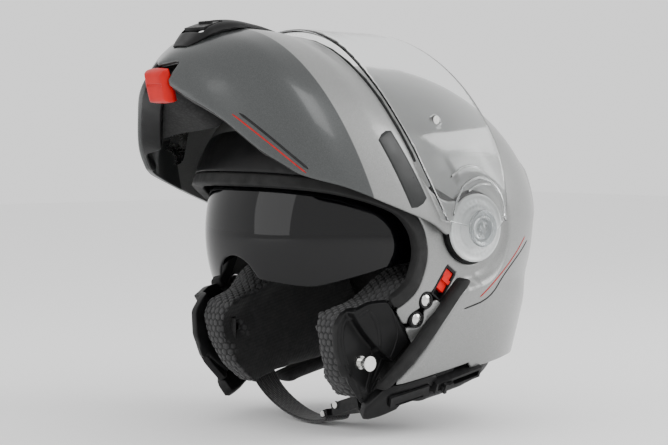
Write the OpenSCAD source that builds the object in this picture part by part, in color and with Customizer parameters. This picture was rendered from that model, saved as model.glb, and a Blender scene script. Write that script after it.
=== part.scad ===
// Flip-up motorcycle helmet, drawn with the chin bar raised and the sun visor down.
// The origin is the middle of the chin bar's hinge axis. +X is forward, +Y the wearer's left, +Z up.

/* [Shell] */
// Half width of the shell at the ears
shell_half_w = 120; // [118:0.5:121]
// Height of the crown above the hinge axis
crown_z = 115; // [110:1:117]
// Reach of the shell behind the hinge axis
shell_rear = 125; // [118:1:130]
// Reach of the brow in front of the hinge axis
brow_front = 132; // [128:1:133]
// Wall of the moulded shell
shell_t = 3.5; // [2.5:0.5:4]

/* [Chin bar] */
// Angle that the chin bar is raised by
lift_deg = 72; // [60:1:76]
// Wall of the chin bar's painted skin
skin_t = 4; // [3:0.5:5]
// Gap between the chin bar and what it swings past
swing_gap = 1; // [0.8:0.1:1.5]

/* [Visors] */
// Half width over the clear visor's side lobes
visor_half_w = 124; // [123.6:0.1:125]
// Thickness of the clear visor
visor_t = 2.2; // [1.8:0.2:2.4]
// Radius of the sun visor's sweep about its own hinge
sun_r = 112; // [110:1:113]
// Half width of the sun visor
sun_half_w = 96; // [94:1:97]
// Thickness of the sun visor
sun_t = 2; // [1.6:0.2:2.4]

/* [Interior] */
// Half width of the room for the head
head_half_w = 78; // [74:1:80]
// Height of the room for the head above the hinge axis
head_top_z = 70; // [66:1:73]
// Width of the chin strap's webbing
strap_w = 22; // [20:1:25]

/* [Hidden] */

grey = [0.42, 0.45, 0.45];
black = [0.08, 0.08, 0.08];
rubber = [0.14, 0.14, 0.14];
red = [0.85, 0.12, 0.08];
foam = [0.2, 0.2, 0.2];
cloth = [0.1, 0.1, 0.1];
steel = [0.8, 0.8, 0.78];

ring_n = 40;        // points round each section of the shell
mid_x = 8;          // middle of the sections
dome_z = 5;         // height where the dome begins
far = 300;          // a length past every surface
fit = 0.3;          // gap between pieces that don't move against each other

// Side outlines, as [x, z] seen from the wearer's left
opening = [[260, 34], [131, 34], [104, 30], [84, 24], [62, 14], [48, 0], [44, -18], [52, -38], [66, -51],
    [92, -56], [99, -66], [98, -84], [88, -106], [74, -122], [66, -160], [260, -160]];
shell_edge = [[-far, -92], [-45, -94], [-2, -99], [1, -95], [57, -107], [far, -116]];
rim_line = [[-far, -97], [-85, -97], [-45, -99], [-8, -107], [29, -117], [60, -131], [80, -136], [far, -136]];
jaw = [[68, -49], [45, -79], [66, -108], [74, -122], [88, -106], [98, -84], [99, -66], [92, -56], [80, -50]];
band = [[16, 29], [-1, -33], [14, -36], [39, -69], [60, -95], [72, -112], [84, -126]];
chin = [[-3, -23], [15.5, -35.5], [41, -68], [62, -94], [73.5, -111], [79.5, -117.5], [84, -120], [100, -130],
    [130, -139], [150, -149], [220, -149], [220, -30], [150, -31], [127, -34], [91, -36], [45, -35],
    [27, -24], [20, 14], [-20, 12]];
visor_side = [[-14, -22], [8, -27], [45, -33], [91, -34], [127, -31], [150, -24], [170, -20], [170, 34],
    [122, 41], [84, 40], [40, 36], [-4, 26]];

// How far a point may stand from the mid plane at radius r from the hinge axis, as [r, y]
sweep_rim = [[0, 112], [60, 112], [78, 107.5], [88, 102], [98, 97], [112, 93.5], [125, 90.5], [135, 87], [145, 81],
    [152, 75]];
sweep_face = [[153, 68], [149, 50], [144, 30], [141, 0]];
// The same over the brow, for what never swings past the jaw
brow_rim = [[0, 112], [60, 112], [78, 103], [90, 95.5], [100, 86.5], [110, 76], [120, 63], [130, 46], [135, 30]];
brow_face = [[137, 0]];
seal_w = 4.5;           // width of the seal along the shell's step

sun_axis = [12, -5];    // the sun visor's own hinge, as [x, z]
striker_at = [79, -91];
stud_at = [[40, -49], [46, -62]];
pj_at = [24, -38];
pj_turn = 53;           // slope of the lock slider's track, along the seal
lever_at = [8, 106.4, -105.2];    // middle of the sun visor lever's track
comm_at = [45, 97.6, -114.6];     // middle of the intercom cover
rim_pitch = 14;         // slope of the lower rim
rim_lean = 35.5;        // lean of the rim panels
lever_yaw = -6;
comm_yaw = -16;
lens_pin_at = [80, -3];
strap_x = 44;

// Sizes of the closed helmet by height: [z, front x], [z, rear x], [z, half width], [z, roundness]
front_by_z = [[-152, 157], [-148, 160], [-140, 165], [-120, 171], [-100, 174], [-80, 172], [-60, 165],
    [-34, 153], [0, 142], [5, 140]];
rear_by_z = [[-152, 70], [-110, 86], [-95, 93], [-86, 95], [-61, 103], [-40, 112], [-17, 121], [5, 125]];
width_by_z = [[-152, 82], [-135, 90], [-119, 98], [-105, 108], [-91, 114], [-70, 117.5], [-40, 119.5], [5, 120]];
round_by_z = [[-152, 1.5], [-137, 1.65], [-119, 2.05], [-105, 2.2], [-91, 2.3], [-60, 2.3], [-34, 2.1], [5, 2.1]];

function spow(v, p) = sign(v) * pow(abs(v), p);
function dome(t, m) = pow(max(0, 1 - pow(t, m)), 1 / m);
function section(z, xf, xr, w, n) = [for (i = [0:ring_n - 1]) let (t = 360 * (i + 0.5) / ring_n)
    [mid_x + (cos(t) > 0 ? xf - mid_x : xr + mid_x) * spow(cos(t), 2 / n), w * spow(sin(t), 2 / n), z]];

// One section of the helmet's body at height z, its surface moved in by o. The brow carries no visor.
function low_section(z, o) = section(z, lookup(z, front_by_z) - o, lookup(z, rear_by_z) + shell_rear - 125 - o,
    lookup(z, width_by_z) + shell_half_w - 120 - o, lookup(z, round_by_z));
function high_section(a, o) = let (t = sin(a), h = crown_z - dome_z - o)
    section(dome_z + h * t, mid_x + (brow_front - mid_x - o) * dome(t, 2.15),
        (shell_rear + mid_x - o) * dome(t, 1.75) - mid_x, (shell_half_w - o) * dome(t, 2.05), 2.1);
low_z = [-152, -137, -119, -105, -91, -70, -40, -17];
high_a = [0, 10, 20, 30, 40, 50, 60, 69, 77, 84];
function body_rings(o) = concat([for (z = low_z) low_section(z, o)], [for (a = high_a) high_section(a, o)]);

// Room for the head, grown by o
function head_rings(o) = concat(
    [for (z = [-165, -60]) section(z, 88 + o, 84 + o, head_half_w - 2 + o, 2.2)],
    [for (a = [0, 15, 30, 45, 58, 70, 80]) let (t = sin(a)) section(-20 + (head_top_z + 20 + o) * t,
        mid_x + (84 + o) * dome(t, 2.1), (100 + o) * dome(t, 2.1) - mid_x, (head_half_w + o) * dome(t, 2.1), 2.2)]);

module stack(rings) {
    n = len(rings[0]);
    k = len(rings);
    sides = [for (j = [0:k - 2], i = [0:n - 1]) let (m = (i + 1) % n)
        [j * n + i, (j + 1) * n + i, (j + 1) * n + m, j * n + m]];
    caps = [[for (i = [0:n - 1]) i], [for (i = [n - 1:-1:0]) (k - 1) * n + i]];
    polyhedron([for (r = rings, p = r) p], concat(sides, caps), convexity = 6);
}
module body(o) stack(body_rings(o));
module head(o) stack(head_rings(o));

// A side outline pushed through from y0 to y1
module side(pts, y0 = -far, y1 = far)
    translate([0, y1, 0]) rotate([90, 0, 0]) linear_extrude(y1 - y0) polygon(pts);
module side_grown(pts, d, y0 = -far, y1 = far)
    translate([0, y1, 0]) rotate([90, 0, 0]) linear_extrude(y1 - y0) offset(delta = d) polygon(pts);
module side_disc(r, y0, y1, at = [0, 0])
    translate([at[0], y1, at[1]]) rotate([90, 0, 0]) cylinder(r = r, h = y1 - y0);
module both_sides() {
    children();
    mirror([0, 1, 0]) children();
}
// Everything under a line that runs from the back to the front
module under(line, up = 0) side(concat([for (p = line) [p[0], p[1] + up]], [[far, -far], [-far, -far]]));

// The solid of revolution about the hinge axis that the chin bar swings round
module lens(rim_line, face_line, o) {
    rim = [for (p = rim_line) [max(0, p[0] + (p[0] > 0 ? o : 0)), p[1] + o]];
    face = [for (p = face_line) [p[0] + o, p[1]]];
    low = [for (i = [len(rim) - 1:-1:0]) [rim[i][0], -rim[i][1]]];
    low_face = [for (i = [len(face) - 2:-1:0]) [face[i][0], -face[i][1]]];
    rotate([-90, 0, 0]) rotate_extrude($fn = 60) polygon(concat(rim, face, low_face, low));
}
module sweep(o) lens(sweep_rim, sweep_face, o);
// What the closed chin bar has to leave free, as it swings up
module swing_room(o) {
    lens(brow_rim, brow_face, o);
    intersection() {
        sweep(o);
        side([[0, 0], [far, -0.577 * far], [far, -far], [-far, -far], [-far, 0]]);
    }
}
// The region behind the step where the chin bar's rear edge closes
module rear_zone(d) {
    difference() {
        side_grown(concat([[70, 132], [70, far], [-far, far], [-far, -far], [84, -far]],
            [for (i = [len(band) - 1:-1:0]) band[i]]), -d);
        side_disc(33 + d, -far, far, $fn = 40);
    }
}
// The shell's outer form, moved in by o
module form(o) {
    intersection() {
        body(o);
        sweep(-o);
    }
    intersection() {
        body(o);
        rear_zone(o + seal_w);
    }
}
// The whole subtree is evaluated as one mesh
module meshed() resize([0, 0, 0]) children();
module raised() rotate([0, -lift_deg, 0]) children();

module pj_pocket(grow) translate([pj_at[0], 0, pj_at[1]]) rotate([0, pj_turn, 0])
    translate([0, 106, 0]) cube([24 + 2 * grow, 14, 10.2 + 2 * grow], center = true);
// A frame that lies on the leaning lower rim: x along the rim, y outward, z up the panel
module on_rim(at, yaw) translate(at) rotate([0, 0, yaw]) rotate([0, rim_pitch, 0]) rotate([-rim_lean, 0, 0])
    children();
module rim_pockets(grow) {
    on_rim(lever_at, lever_yaw) cube([40 + 2 * grow, 12, 9.4 + 2 * grow], center = true);
    on_rim(comm_at, comm_yaw) cube([30 + 2 * grow, 12, 9.4 + 2 * grow], center = true);
}
module spoiler_form(o) translate([-4, 0, 0]) body(o - 4);

/* ---- fixed to the shell ---- */
module outer_shell() color(grey) meshed() difference() {
    form(0);
    form(shell_t);
    side_grown(opening, 6);
    under(shell_edge);
    side_grown(jaw, fit);
    both_sides() side_disc(25.3, 90, far, $fn = 40);
    both_sides() for (p = stud_at) side_disc(5.9, 90, far, p, $fn = 20);
    pj_pocket(fit);
    rim_pockets(fit);
    translate([60, 0, 90]) cube([26, 16, 60], center = true);
    for (y = [-34, 0, 34]) translate([-110, y, 14]) cube([60, 18, 9], center = true);
}
module side_seals() color(rubber) meshed() both_sides() difference() {
    intersection() {
        body(0);
        rear_zone(0.2);
        side([[-3, -34], [16, -30], [46, -66], [68, -92], [76, -110], [62, -122], [48, -104], [26, -74], [2, -46]],
            60, far);
    }
    rear_zone(seal_w - fit);
    form(-fit);
    body(8);
}
module eyeport_trim() color(rubber) meshed() difference() {
    intersection() {
        form(-0.4);
        side_grown(opening, 6 - fit);
    }
    form(10);
    side_grown(opening, -3);
    side_grown(jaw, fit);
    side([[78, -40], [260, -40], [260, -200], [40, -200], [40, -98]]);
}
module rim_trim() color(black) meshed() difference() {
    intersection() {
        form(-0.3);
        under(shell_edge, -fit);
    }
    form(9);
    under(rim_line);
    side_grown(jaw, fit);
    side_grown(opening, 0);
    head(-1);
    rim_pockets(fit);
}
module rear_spoiler() color(grey) meshed() difference() {
    intersection() {
        spoiler_form(0);
        side([[-150, 44], [-96, 52], [-100, 10], [-90, -16], [-150, -12]], -66, 66);
    }
    body(-fit);
    translate([-112, 0, 22]) cube([60, 50, 7], center = true);
}
module rear_exhaust_grille() color(black) {
    for (y = [-34, 0, 34]) translate([-106, y, 14]) difference() {
        cube([8, 17, 8], center = true);
        for (k = [-2:2]) translate([0, k * 3, 0]) cube([9, 1.6, 6], center = true);
    }
}
module top_vent_base() color(black) meshed() difference() {
    intersection() {
        translate([0, 0, 5]) body(0);
        hull() {
            translate([88, 0, 100]) cube([4, 20, 60], center = true);
            translate([44, 0, 100]) cube([4, 44, 60], center = true);
        }
    }
    body(-fit);
    translate([63, 0, 110]) rotate([0, 27, 0]) cube([21, 24.6, 12], center = true);
}
module top_vent_slider() color(black) translate([63, 0, 110]) rotate([0, 27, 0]) translate([-2.6, 0, 0]) {
    cube([15, 24, 2.4], center = true);
    translate([0, 0, 2.2]) cube([2.5, 20, 2.2], center = true);
}
module jaw_groove(grow) intersection() {
    side([[40, -62], [118, -34], [150, -60], [110, -130], [60, -126]], 86 - grow, far);
    difference() {
        side_disc(132 + grow, 60, far, $fn = 60);
        side_disc(106.4 - grow, 60, far, $fn = 60);
    }
}
module jaw_plate() meshed() difference() {
    intersection() {
        form(0);
        side(jaw, 68, far);
    }
    form(10);
    head(-1);
    jaw_groove(0);
}
module jaw_plate_left() color(black) jaw_plate();
module jaw_plate_right() color(black) mirror([0, 1, 0]) jaw_plate();
module striker() {
    side_disc(2.8, 86, 94.6, striker_at, $fn = 32);
    side_disc(4.6, 86, 88.4, striker_at, $fn = 32);
    side_disc(5.2, 94.6, 97.6, striker_at, $fn = 32);
}
module striker_left() color(steel) striker();
module striker_right() color(steel) mirror([0, 1, 0]) striker();
module strap_rivets() color(steel) both_sides() for (p = stud_at) {
    side_disc(4.4, 107, p == stud_at[0] ? 111.7 : 109, p, $fn = 32);
    side_disc(2.4, 94, 107, p, $fn = 24);
}
module rivet_grommets() color(black) both_sides() for (p = stud_at) difference() {
    side_disc(5.6, 105.5, p == stud_at[0] ? 111.4 : 108.4, p, $fn = 32);
    side_disc(4.4, 104, far, p, $fn = 32);
}
module pj_frame() translate([pj_at[0], 0, pj_at[1]]) rotate([0, pj_turn, 0]) children();
module pj_track() color(black) pj_frame() difference() {
    translate([0, 107.4, 0]) cube([23.8, 7.6, 10], center = true);
    translate([0, 109.8, 0]) cube([21.4, 7.2, 8], center = true);
}
module pj_slider() color(red) pj_frame() translate([-2.6, 0, 0]) {
    translate([0, 108.2, 0]) cube([15.8, 3.6, 7.4], center = true);
    translate([0, 110.8, 0]) cube([3, 2, 7.4], center = true);
}
module comm_cover() color(black) on_rim(comm_at, comm_yaw) difference() {
    cube([30, 6.4, 9.4], center = true);
    translate([0, 3.2, -3.2]) cube([22, 1.6, 1], center = true);
}
module sun_lever_track() color(black) on_rim(lever_at, lever_yaw) difference() {
    cube([40, 6.4, 9.4], center = true);
    translate([0, 1.6, 0]) cube([36, 6.4, 4.8], center = true);
}
module sun_lever() color(black) on_rim(lever_at, lever_yaw) translate([11, 0, 0]) {
    translate([0, 0.8, 0]) cube([12, 4, 4.2], center = true);
    translate([0, 4, 0]) cube([10, 2.8, 3.6], center = true);
    translate([2.5, 5, 0]) cube([2.2, 3, 8.4], center = true);
}
module hinge_plate() difference() {
    union() {
        side_disc(25, 104.5, 111.6, $fn = 64);
        side_disc(8, 111.6, 115.6, $fn = 48);
    }
    side_disc(2.6, 104, 116, $fn = 32);
    for (a = [30:120:270]) side_disc(2, 104, 116, [16 * cos(a), 16 * sin(a)], $fn = 24);
}
module hinge_plate_left() color(black) hinge_plate();
module hinge_plate_right() color(black) mirror([0, 1, 0]) hinge_plate();
module hinge_screws() color(steel) both_sides() difference() {
    union() {
        side_disc(2.5, 105, 115.6, $fn = 32);
        side_disc(10, 115.6, 117.2, $fn = 48);
    }
    side_disc(2.4, 116.2, 118, $fn = 6);
}

/* ---- inside the shell ---- */
// Everything outside the sun visor's sweep about its own hinge, over the brow
module sun_sweep(r, w) translate([sun_axis[0], 0, sun_axis[1]]) rotate([-90, 0, 0])
    rotate_extrude($fn = 60) polygon(concat([[0, w]],
        [for (a = [75:-15:-75]) [r * pow(cos(a), 2 / 2.2), w * spow(sin(a), 2 / 2.2)]], [[0, -w]]));
module eps_liner() color(foam) meshed() difference() {
    form(shell_t + fit);
    head(10);
    side_grown(opening, 16);
    under(rim_line, 14);
    under(shell_edge, 4);
    difference() {
        side([[-9, -60], [160, -60], [160, 110], [50, 110], [-9, 34]]);
        sun_sweep(sun_r - 5, sun_half_w - 5);
    }
    difference() {
        side_grown(jaw, 0.6);
        form(10.6);
    }
    both_sides() jaw_groove(2);
    both_sides() side_disc(6.4, 80, far, sun_axis, $fn = 24);
    both_sides() side_disc(25.6, 104, far, $fn = 40);
    both_sides() for (p = stud_at) side_disc(6, 93, far, p, $fn = 20);
    both_sides() strap_space();
    pj_pocket(1.2);
    rim_pockets(1);
    for (y = [-34, 0, 34]) translate([-110, y, 14]) cube([60, 18, 9], center = true);
    translate([60, 0, 90]) cube([24, 12, 60], center = true);
    for (y = [-22, 22]) translate([0, y, 84]) cube([150, 9, 14], center = true);
}
module comfort_liner() color(cloth) meshed() difference() {
    head(9.6);
    head(0.5);
    side_grown(opening, 22);
    side([[-far, -22], [far, -22], [far, -far], [-far, -far]]);
    for (a = [-60, -20, 20, 60]) rotate([0, 0, a]) translate([0, 0, 70]) cube([110, 5, 60], center = true);
}
cheek_side = [[-38, -26], [22, -26], [44, -38], [62, -50], [88, -57], [95, -68], [93, -85], [84, -105], [68, -120],
    [-10, -108], [-44, -84]];
// Behind the jaw plates the pad fills all the room out to them; further back it lies on the foam
module cheek_pad() meshed() difference() {
    intersection() {
        side(cheek_side, 10, far);
        union() {
            head(9.5);
            intersection() {
                form(10.5);
                side_grown(opening, 15.4);
            }
        }
    }
    hull() {
        translate([-40, 40, -20]) sphere(r = 24, $fn = 24);
        translate([60, 34, -70]) sphere(r = 26, $fn = 24);
        translate([90, 28, -80]) sphere(r = 26, $fn = 24);
        translate([0, 34, -130]) sphere(r = 26, $fn = 24);
        translate([0, 0, -60]) cube([200, 2, 160], center = true);
    }
    for (p = stud_at) side_disc(3.2, 92, far, p, $fn = 20);
    strap_space();
}
module cheek_pad_left() color(cloth) cheek_pad();
module cheek_pad_right() color(cloth) mirror([0, 1, 0]) cheek_pad();
module neck_roll() color(cloth) meshed() difference() {
    intersection() {
        form(9.8);
        side([[-140, -84.5], [-85, -84.5], [-46, -87], [-12, -97], [24, -107], [26, -127], [-10, -118], [-50, -110],
            [-140, -106]]);
    }
    head(-12);
    side_grown(cheek_side, 1);
    both_sides() strap_space();
}

// A ribbon of webbing along a path of [y, z] points
module ribbon(path, t, w) rotate([90, 0, 90]) translate([0, 0, strap_x - w / 2])
    linear_extrude(w) for (i = [0:len(path) - 2]) hull() for (k = [0, 1])
        translate(path[i + k]) circle(d = t, $fn = 12);
left_path = [[88, -58], [82.6, -80], [76.8, -100], [74, -110], [67, -119], [62, -126], [57.6, -130],
    [55.4, -129.4], [54.5, -123.5]];
right_path = [[-88, -58], [-82.6, -80], [-76.8, -100], [-72, -112], [-61, -124], [-44, -134], [-22, -141.5],
    [-2, -143.5], [12, -141.8], [17.2, -140.5], [19.8, -139.3], [19.6, -137.6], [18.5, -134]];
module strap_space() ribbon(left_path, 6, strap_w + 3);
module strap_left() color(cloth) ribbon(left_path, 2, strap_w);
module strap_right() color(cloth) ribbon(right_path, 2, strap_w);
// The buckle lies along the strap, falling towards the middle
module buckle_frame() translate([strap_x, 42, -127.5]) rotate([18, 0, 0]) rotate([0, 0, 180]) children();
module buckle_housing() color(black) buckle_frame() difference() {
    translate([0, -1, 0]) cube([26, 30, 9], center = true);
    translate([0, 4, -0.4]) cube([17.6, 30, 4.4], center = true);
    translate([0, 0, 3.4]) cube([19, 26, 4], center = true);
    translate([-14, 8, 2.6]) rotate([0, 90, 0]) cylinder(r = 1.55, h = 28, $fn = 24);
    translate([0, -13, 0]) cube([strap_w + 0.8, 3.4, 12], center = true);
}
module buckle_tongue() color(black) buckle_frame() {
    translate([0, 9, -1.2]) cube([17, 25, 2], center = true);
    for (k = [0:5]) translate([0, 1 + 2.4 * k, 0]) cube([12, 1.1, 0.8], center = true);
    translate([0, 24.4, -0.4]) difference() {
        cube([25, 7, 5], center = true);
        cube([strap_w + 0.8, 3, 6], center = true);
    }
}
module buckle_lever() color(red) buckle_frame() {
    translate([0, 1.5, 3.6]) cube([17.6, 14, 1.8], center = true);
    translate([-9, 8, 2.6]) rotate([0, 90, 0]) cylinder(r = 1.5, h = 18, $fn = 24);
    translate([0, -7.5, 4.2]) cube([14, 4.4, 2.4], center = true);
}
module buckle_rivets() color(steel) buckle_frame() {
    for (s = [-1, 1]) translate([s * 13.1, 8, 2.6]) rotate([0, s * 90, 0]) cylinder(r = 2.6, h = 1.4, $fn = 24);
    for (s = [-1, 1]) translate([s * 12.6, 24.4, -0.4]) rotate([0, s * 90, 0]) cylinder(r = 2.2, h = 1.4, $fn = 24);
}

/* ---- chin bar, drawn closed and then raised ---- */
module chin_bar_shell() color(grey) raised() meshed() difference() {
    intersection() {
        body(0);
        side(chin);
    }
    body(skin_t);
    swing_room(swing_gap);
    both_sides() side_disc(54, 60, 115.7, $fn = 48);
    side_disc(24.5, -far, far, $fn = 40);
    translate([150, 0, -147]) cube([26, 27, 30], center = true);
    translate([172, 0, -88]) cube([40, 26, 50], center = true);
}
module chin_inset(d) side_grown(chin, -d);
module latch_slot() both_sides() intersection() {
    difference() {
        side_disc(129, 80, 100.6, $fn = 60);
        side_disc(111, 80, 101, $fn = 60);
    }
    side([[0, 0], [110, -96], [160, -70], [160, -44], [60, -160]]);
    side([[0, 0], [130, -100], [60, -180]]);
}
module chin_bar_frame() color(black) raised() meshed() difference() {
    intersection() {
        body(skin_t + fit);
        chin_inset(1);
    }
    swing_room(swing_gap);
    chin_inset(8);
    side([[-60, 60], [220, 60], [220, -60], [78, -60], [78, -200], [-60, -200]]);
    latch_slot();
    translate([148, 0, -147]) cube([27, 28, 24], center = true);
}
module chin_bar_liner() color(foam) raised() meshed() difference() {
    intersection() {
        body(skin_t + fit);
        chin_inset(8 + fit);
    }
    swing_room(swing_gap + 0.6);
    side([[-60, 60], [98, 60], [98, -200], [-60, -200]]);
    latch_slot();
    both_sides() translate([97, 98, -78]) cube([40, 16, 36], center = true);
    translate([172, 0, -88]) cube([46, 27, 51], center = true);
    translate([148, 0, -140]) cube([29, 30, 14], center = true);
}
module visor_seal() color(rubber) raised() meshed() difference() {
    intersection() {
        body(1);
        side([[60, -35.2], [91, -36], [127, -34], [150, -31], [220, -30], [220, -27.4], [150, -28.4], [127, -31.6],
            [91, -33.6], [60, -32.9]]);
    }
    body(6);
    translate([0, 0, 1]) side([[52, -35.6], [91, -36.6], [127, -34.6], [150, -31.6], [220, -30.6], [220, -60],
        [52, -60]]);
    swing_room(swing_gap);
}
module vent_prism(grow) hull() {
    translate([160, 0, -64 + grow]) cube([60, 26 + 2 * grow, 1], center = true);
    translate([160, 0, -92]) cube([60, 38 + 2 * grow, 1], center = true);
    translate([160, 0, -116 - grow]) cube([60, 22 + 2 * grow, 1], center = true);
}
module chin_vent_body() color(black) raised() meshed() difference() {
    intersection() {
        translate([7, 0, 0]) body(0);
        vent_prism(0);
    }
    body(-fit);
    translate([184, 0, -96]) cube([24, 24, 19], center = true);
}
module chin_vent_flap() color(black) raised() {
    translate([178.6, 0, -98.2]) cube([2.6, 23.2, 14], center = true);
    translate([180.6, 0, -94.7]) cube([1.8, 14, 2], center = true);
}
module release_button() color(red) raised() difference() {
    translate([150, 0, -146.4]) cube([24.4, 25.6, 9], center = true);
    translate([150, 0, -151.4]) rotate([90, 0, 0]) cylinder(r = 1, h = 16, center = true, $fn = 24);
}
// Plate with a mouth that drops over the striker, turning on its own pin
hook_pin = [97, -77];
striker_off = [82.9, -94.9];    // where the striker stands to the hook once that is turned off it
module latch_hook() difference() {
    union() {
        hull() {
            side_disc(6.5, 90.5, 93.5, hook_pin, $fn = 32);
            side_disc(8, 90.5, 93.5, striker_at + [2.5, 3], $fn = 32);
        }
        side_disc(3, 93.5, 96.2, hook_pin, $fn = 32);
    }
    hull() {
        side_disc(3.4, 90, 94, striker_at, $fn = 32);
        side_disc(3.6, 90, 94, striker_off, $fn = 32);
        for (p = [striker_at, striker_off]) side_disc(3.6, 90, 94, p + [-11, -9], $fn = 32);
    }
}
module latch_hook_left() color(steel) raised() latch_hook();
module latch_hook_right() color(steel) raised() mirror([0, 1, 0]) latch_hook();
module hinge_carrier() difference() {
    union() {
        side_disc(24, 112.3, 115.3, $fn = 64);
        side([[2, -23.8], [22, -9], [40, -28], [28, -44]], 113.2, 115.3);
    }
    side_disc(8.06, 112, 116, $fn = 48);
}
module hinge_carrier_left() color(black) raised() hinge_carrier();
module hinge_carrier_right() color(black) raised() mirror([0, 1, 0]) hinge_carrier();
module visor_base() difference() {
    union() {
        side_disc(23.8, 115.6, 119, $fn = 64);
        side_disc(9.8, 119, 124.2, $fn = 48);
    }
    side_disc(10.6, 115, 117.8, $fn = 48);
    for (a = [60:60:360]) side_disc(2.2, 117, 120, [17 * cos(a), 17 * sin(a)], $fn = 24);
}
module visor_base_left() color(steel) raised() visor_base();
module visor_base_right() color(steel) raised() mirror([0, 1, 0]) visor_base();
module visor_caps() color(steel) raised() both_sides() difference() {
    side_disc(13, 124.5, 126, $fn = 64);
    translate([0, 126, 0]) cube([12, 1.2, 2.4], center = true);
}

/* ---- clear visor ---- */
function visor_rings(o) = [for (z = [-50, -34, -20, -5, 10, 25, 40, 55])
    section(z, lookup(z, [[-50, 160], [-34, 157], [-20, 154], [0, 147], [20, 140], [40, 133], [55, 126]]) - o,
        160 - o, visor_half_w - o, 2.05)];
module visor() color([0.8, 0.85, 0.88, 0.35]) raised() meshed() difference() {
    intersection() {
        stack(visor_rings(0));
        side(visor_side);
        union() {
            side([[0, -60], [200, -60], [200, 60], [0, 60]]);
            side_disc(26, -far, far, $fn = 40);
        }
    }
    stack(visor_rings(visor_t));
    side_disc(10.3, -far, far, $fn = 40);
    both_sides() side_disc(3.1, 60, far, lens_pin_at, $fn = 32);
}
module lens_pins() color(steel) raised() both_sides() {
    side_disc(2.9, 102.4, 107.6, lens_pin_at, $fn = 32);
}

/* ---- sun visor ---- */
sun_outline = [[24, 24], [112, 36], [140, 40], [140, -20], [119, -36], [100, -41], [60, -28], [24, -20]];
module sun_visor() color([0.1, 0.1, 0.12, 0.8]) meshed() difference() {
    intersection() {
        sun_sweep(sun_r, sun_half_w);
        union() {
            side(sun_outline);
            side_disc(13, -far, far, sun_axis, $fn = 40);
        }
    }
    sun_sweep(sun_r - sun_t, sun_half_w - sun_t);
    side_disc(3.05, -far, far, sun_axis, $fn = 32);
    translate([120, 0, -44]) rotate([0, 90, 0]) cylinder(r = 24, h = 60, center = true, $fn = 48);
}
module sun_hinge_studs() color(steel) both_sides() {
    side_disc(3, 92, 104.4, sun_axis, $fn = 32);
    side_disc(5.5, 91, 92.8, sun_axis, $fn = 32);
}

outer_shell();
side_seals();
eyeport_trim();
rim_trim();
rear_spoiler();
rear_exhaust_grille();
top_vent_base();
top_vent_slider();
jaw_plate_left();
jaw_plate_right();
striker_left();
striker_right();
strap_rivets();
rivet_grommets();
pj_track();
pj_slider();
comm_cover();
sun_lever_track();
sun_lever();
hinge_plate_left();
hinge_plate_right();
hinge_screws();
eps_liner();
comfort_liner();
cheek_pad_left();
cheek_pad_right();
neck_roll();
strap_left();
strap_right();
buckle_housing();
buckle_tongue();
buckle_lever();
buckle_rivets();
chin_bar_shell();
chin_bar_frame();
chin_bar_liner();
visor_seal();
chin_vent_body();
chin_vent_flap();
release_button();
latch_hook_left();
latch_hook_right();
hinge_carrier_left();
hinge_carrier_right();
visor_base_left();
visor_base_right();
visor_caps();
visor();
lens_pins();
sun_visor();
sun_hinge_studs();
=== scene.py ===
"""Looks of the flip-up motorcycle helmet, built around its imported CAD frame.

Sizes are in millimetres until mesh()."""

import bmesh
import bpy
import math
import numpy as np
from mathutils import Matrix, Vector


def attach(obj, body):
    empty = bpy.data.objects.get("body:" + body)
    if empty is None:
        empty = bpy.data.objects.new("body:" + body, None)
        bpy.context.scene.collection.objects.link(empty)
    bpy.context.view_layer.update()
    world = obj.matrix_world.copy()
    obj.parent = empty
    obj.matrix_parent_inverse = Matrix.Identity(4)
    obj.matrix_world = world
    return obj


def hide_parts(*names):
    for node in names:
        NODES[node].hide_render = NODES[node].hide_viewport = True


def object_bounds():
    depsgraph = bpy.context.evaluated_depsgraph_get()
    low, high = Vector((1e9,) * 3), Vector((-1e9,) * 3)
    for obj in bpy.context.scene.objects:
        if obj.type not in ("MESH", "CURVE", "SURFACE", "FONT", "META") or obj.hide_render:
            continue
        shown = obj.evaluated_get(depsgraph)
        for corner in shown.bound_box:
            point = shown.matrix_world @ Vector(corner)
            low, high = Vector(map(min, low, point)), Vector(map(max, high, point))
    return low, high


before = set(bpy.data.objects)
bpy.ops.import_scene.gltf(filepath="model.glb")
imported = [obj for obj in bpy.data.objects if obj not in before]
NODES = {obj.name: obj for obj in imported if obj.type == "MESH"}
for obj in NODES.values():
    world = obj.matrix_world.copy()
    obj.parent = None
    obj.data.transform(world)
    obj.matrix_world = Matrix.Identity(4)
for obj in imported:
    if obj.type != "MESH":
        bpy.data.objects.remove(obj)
cad_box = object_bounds()
MM = 0.001
SIDES = (("left", 1), ("right", -1))

# ---------------------------------------------------------------- camera
VIEW_AZ, VIEW_EL = math.radians(50.0), math.radians(2.6)  # where the camera stands, from +X towards +Y
VIEW_DISTANCE = 1.5
FOCAL = 109.1  # for a 36 mm sensor
toward = Vector((math.cos(VIEW_AZ) * math.cos(VIEW_EL), math.sin(VIEW_AZ) * math.cos(VIEW_EL),
                 math.sin(VIEW_EL)))
camera_data = bpy.data.cameras.new("camera")
camera_data.lens, camera_data.sensor_width = FOCAL, 36.0
camera_data.shift_x, camera_data.shift_y = -0.0494, -0.0007
camera = bpy.data.objects.new("camera", camera_data)
camera.location = toward * VIEW_DISTANCE
camera.rotation_euler = (-toward).to_track_quat("-Z", "Y").to_euler()
bpy.context.scene.collection.objects.link(camera)
bpy.context.scene.camera = camera

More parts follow.
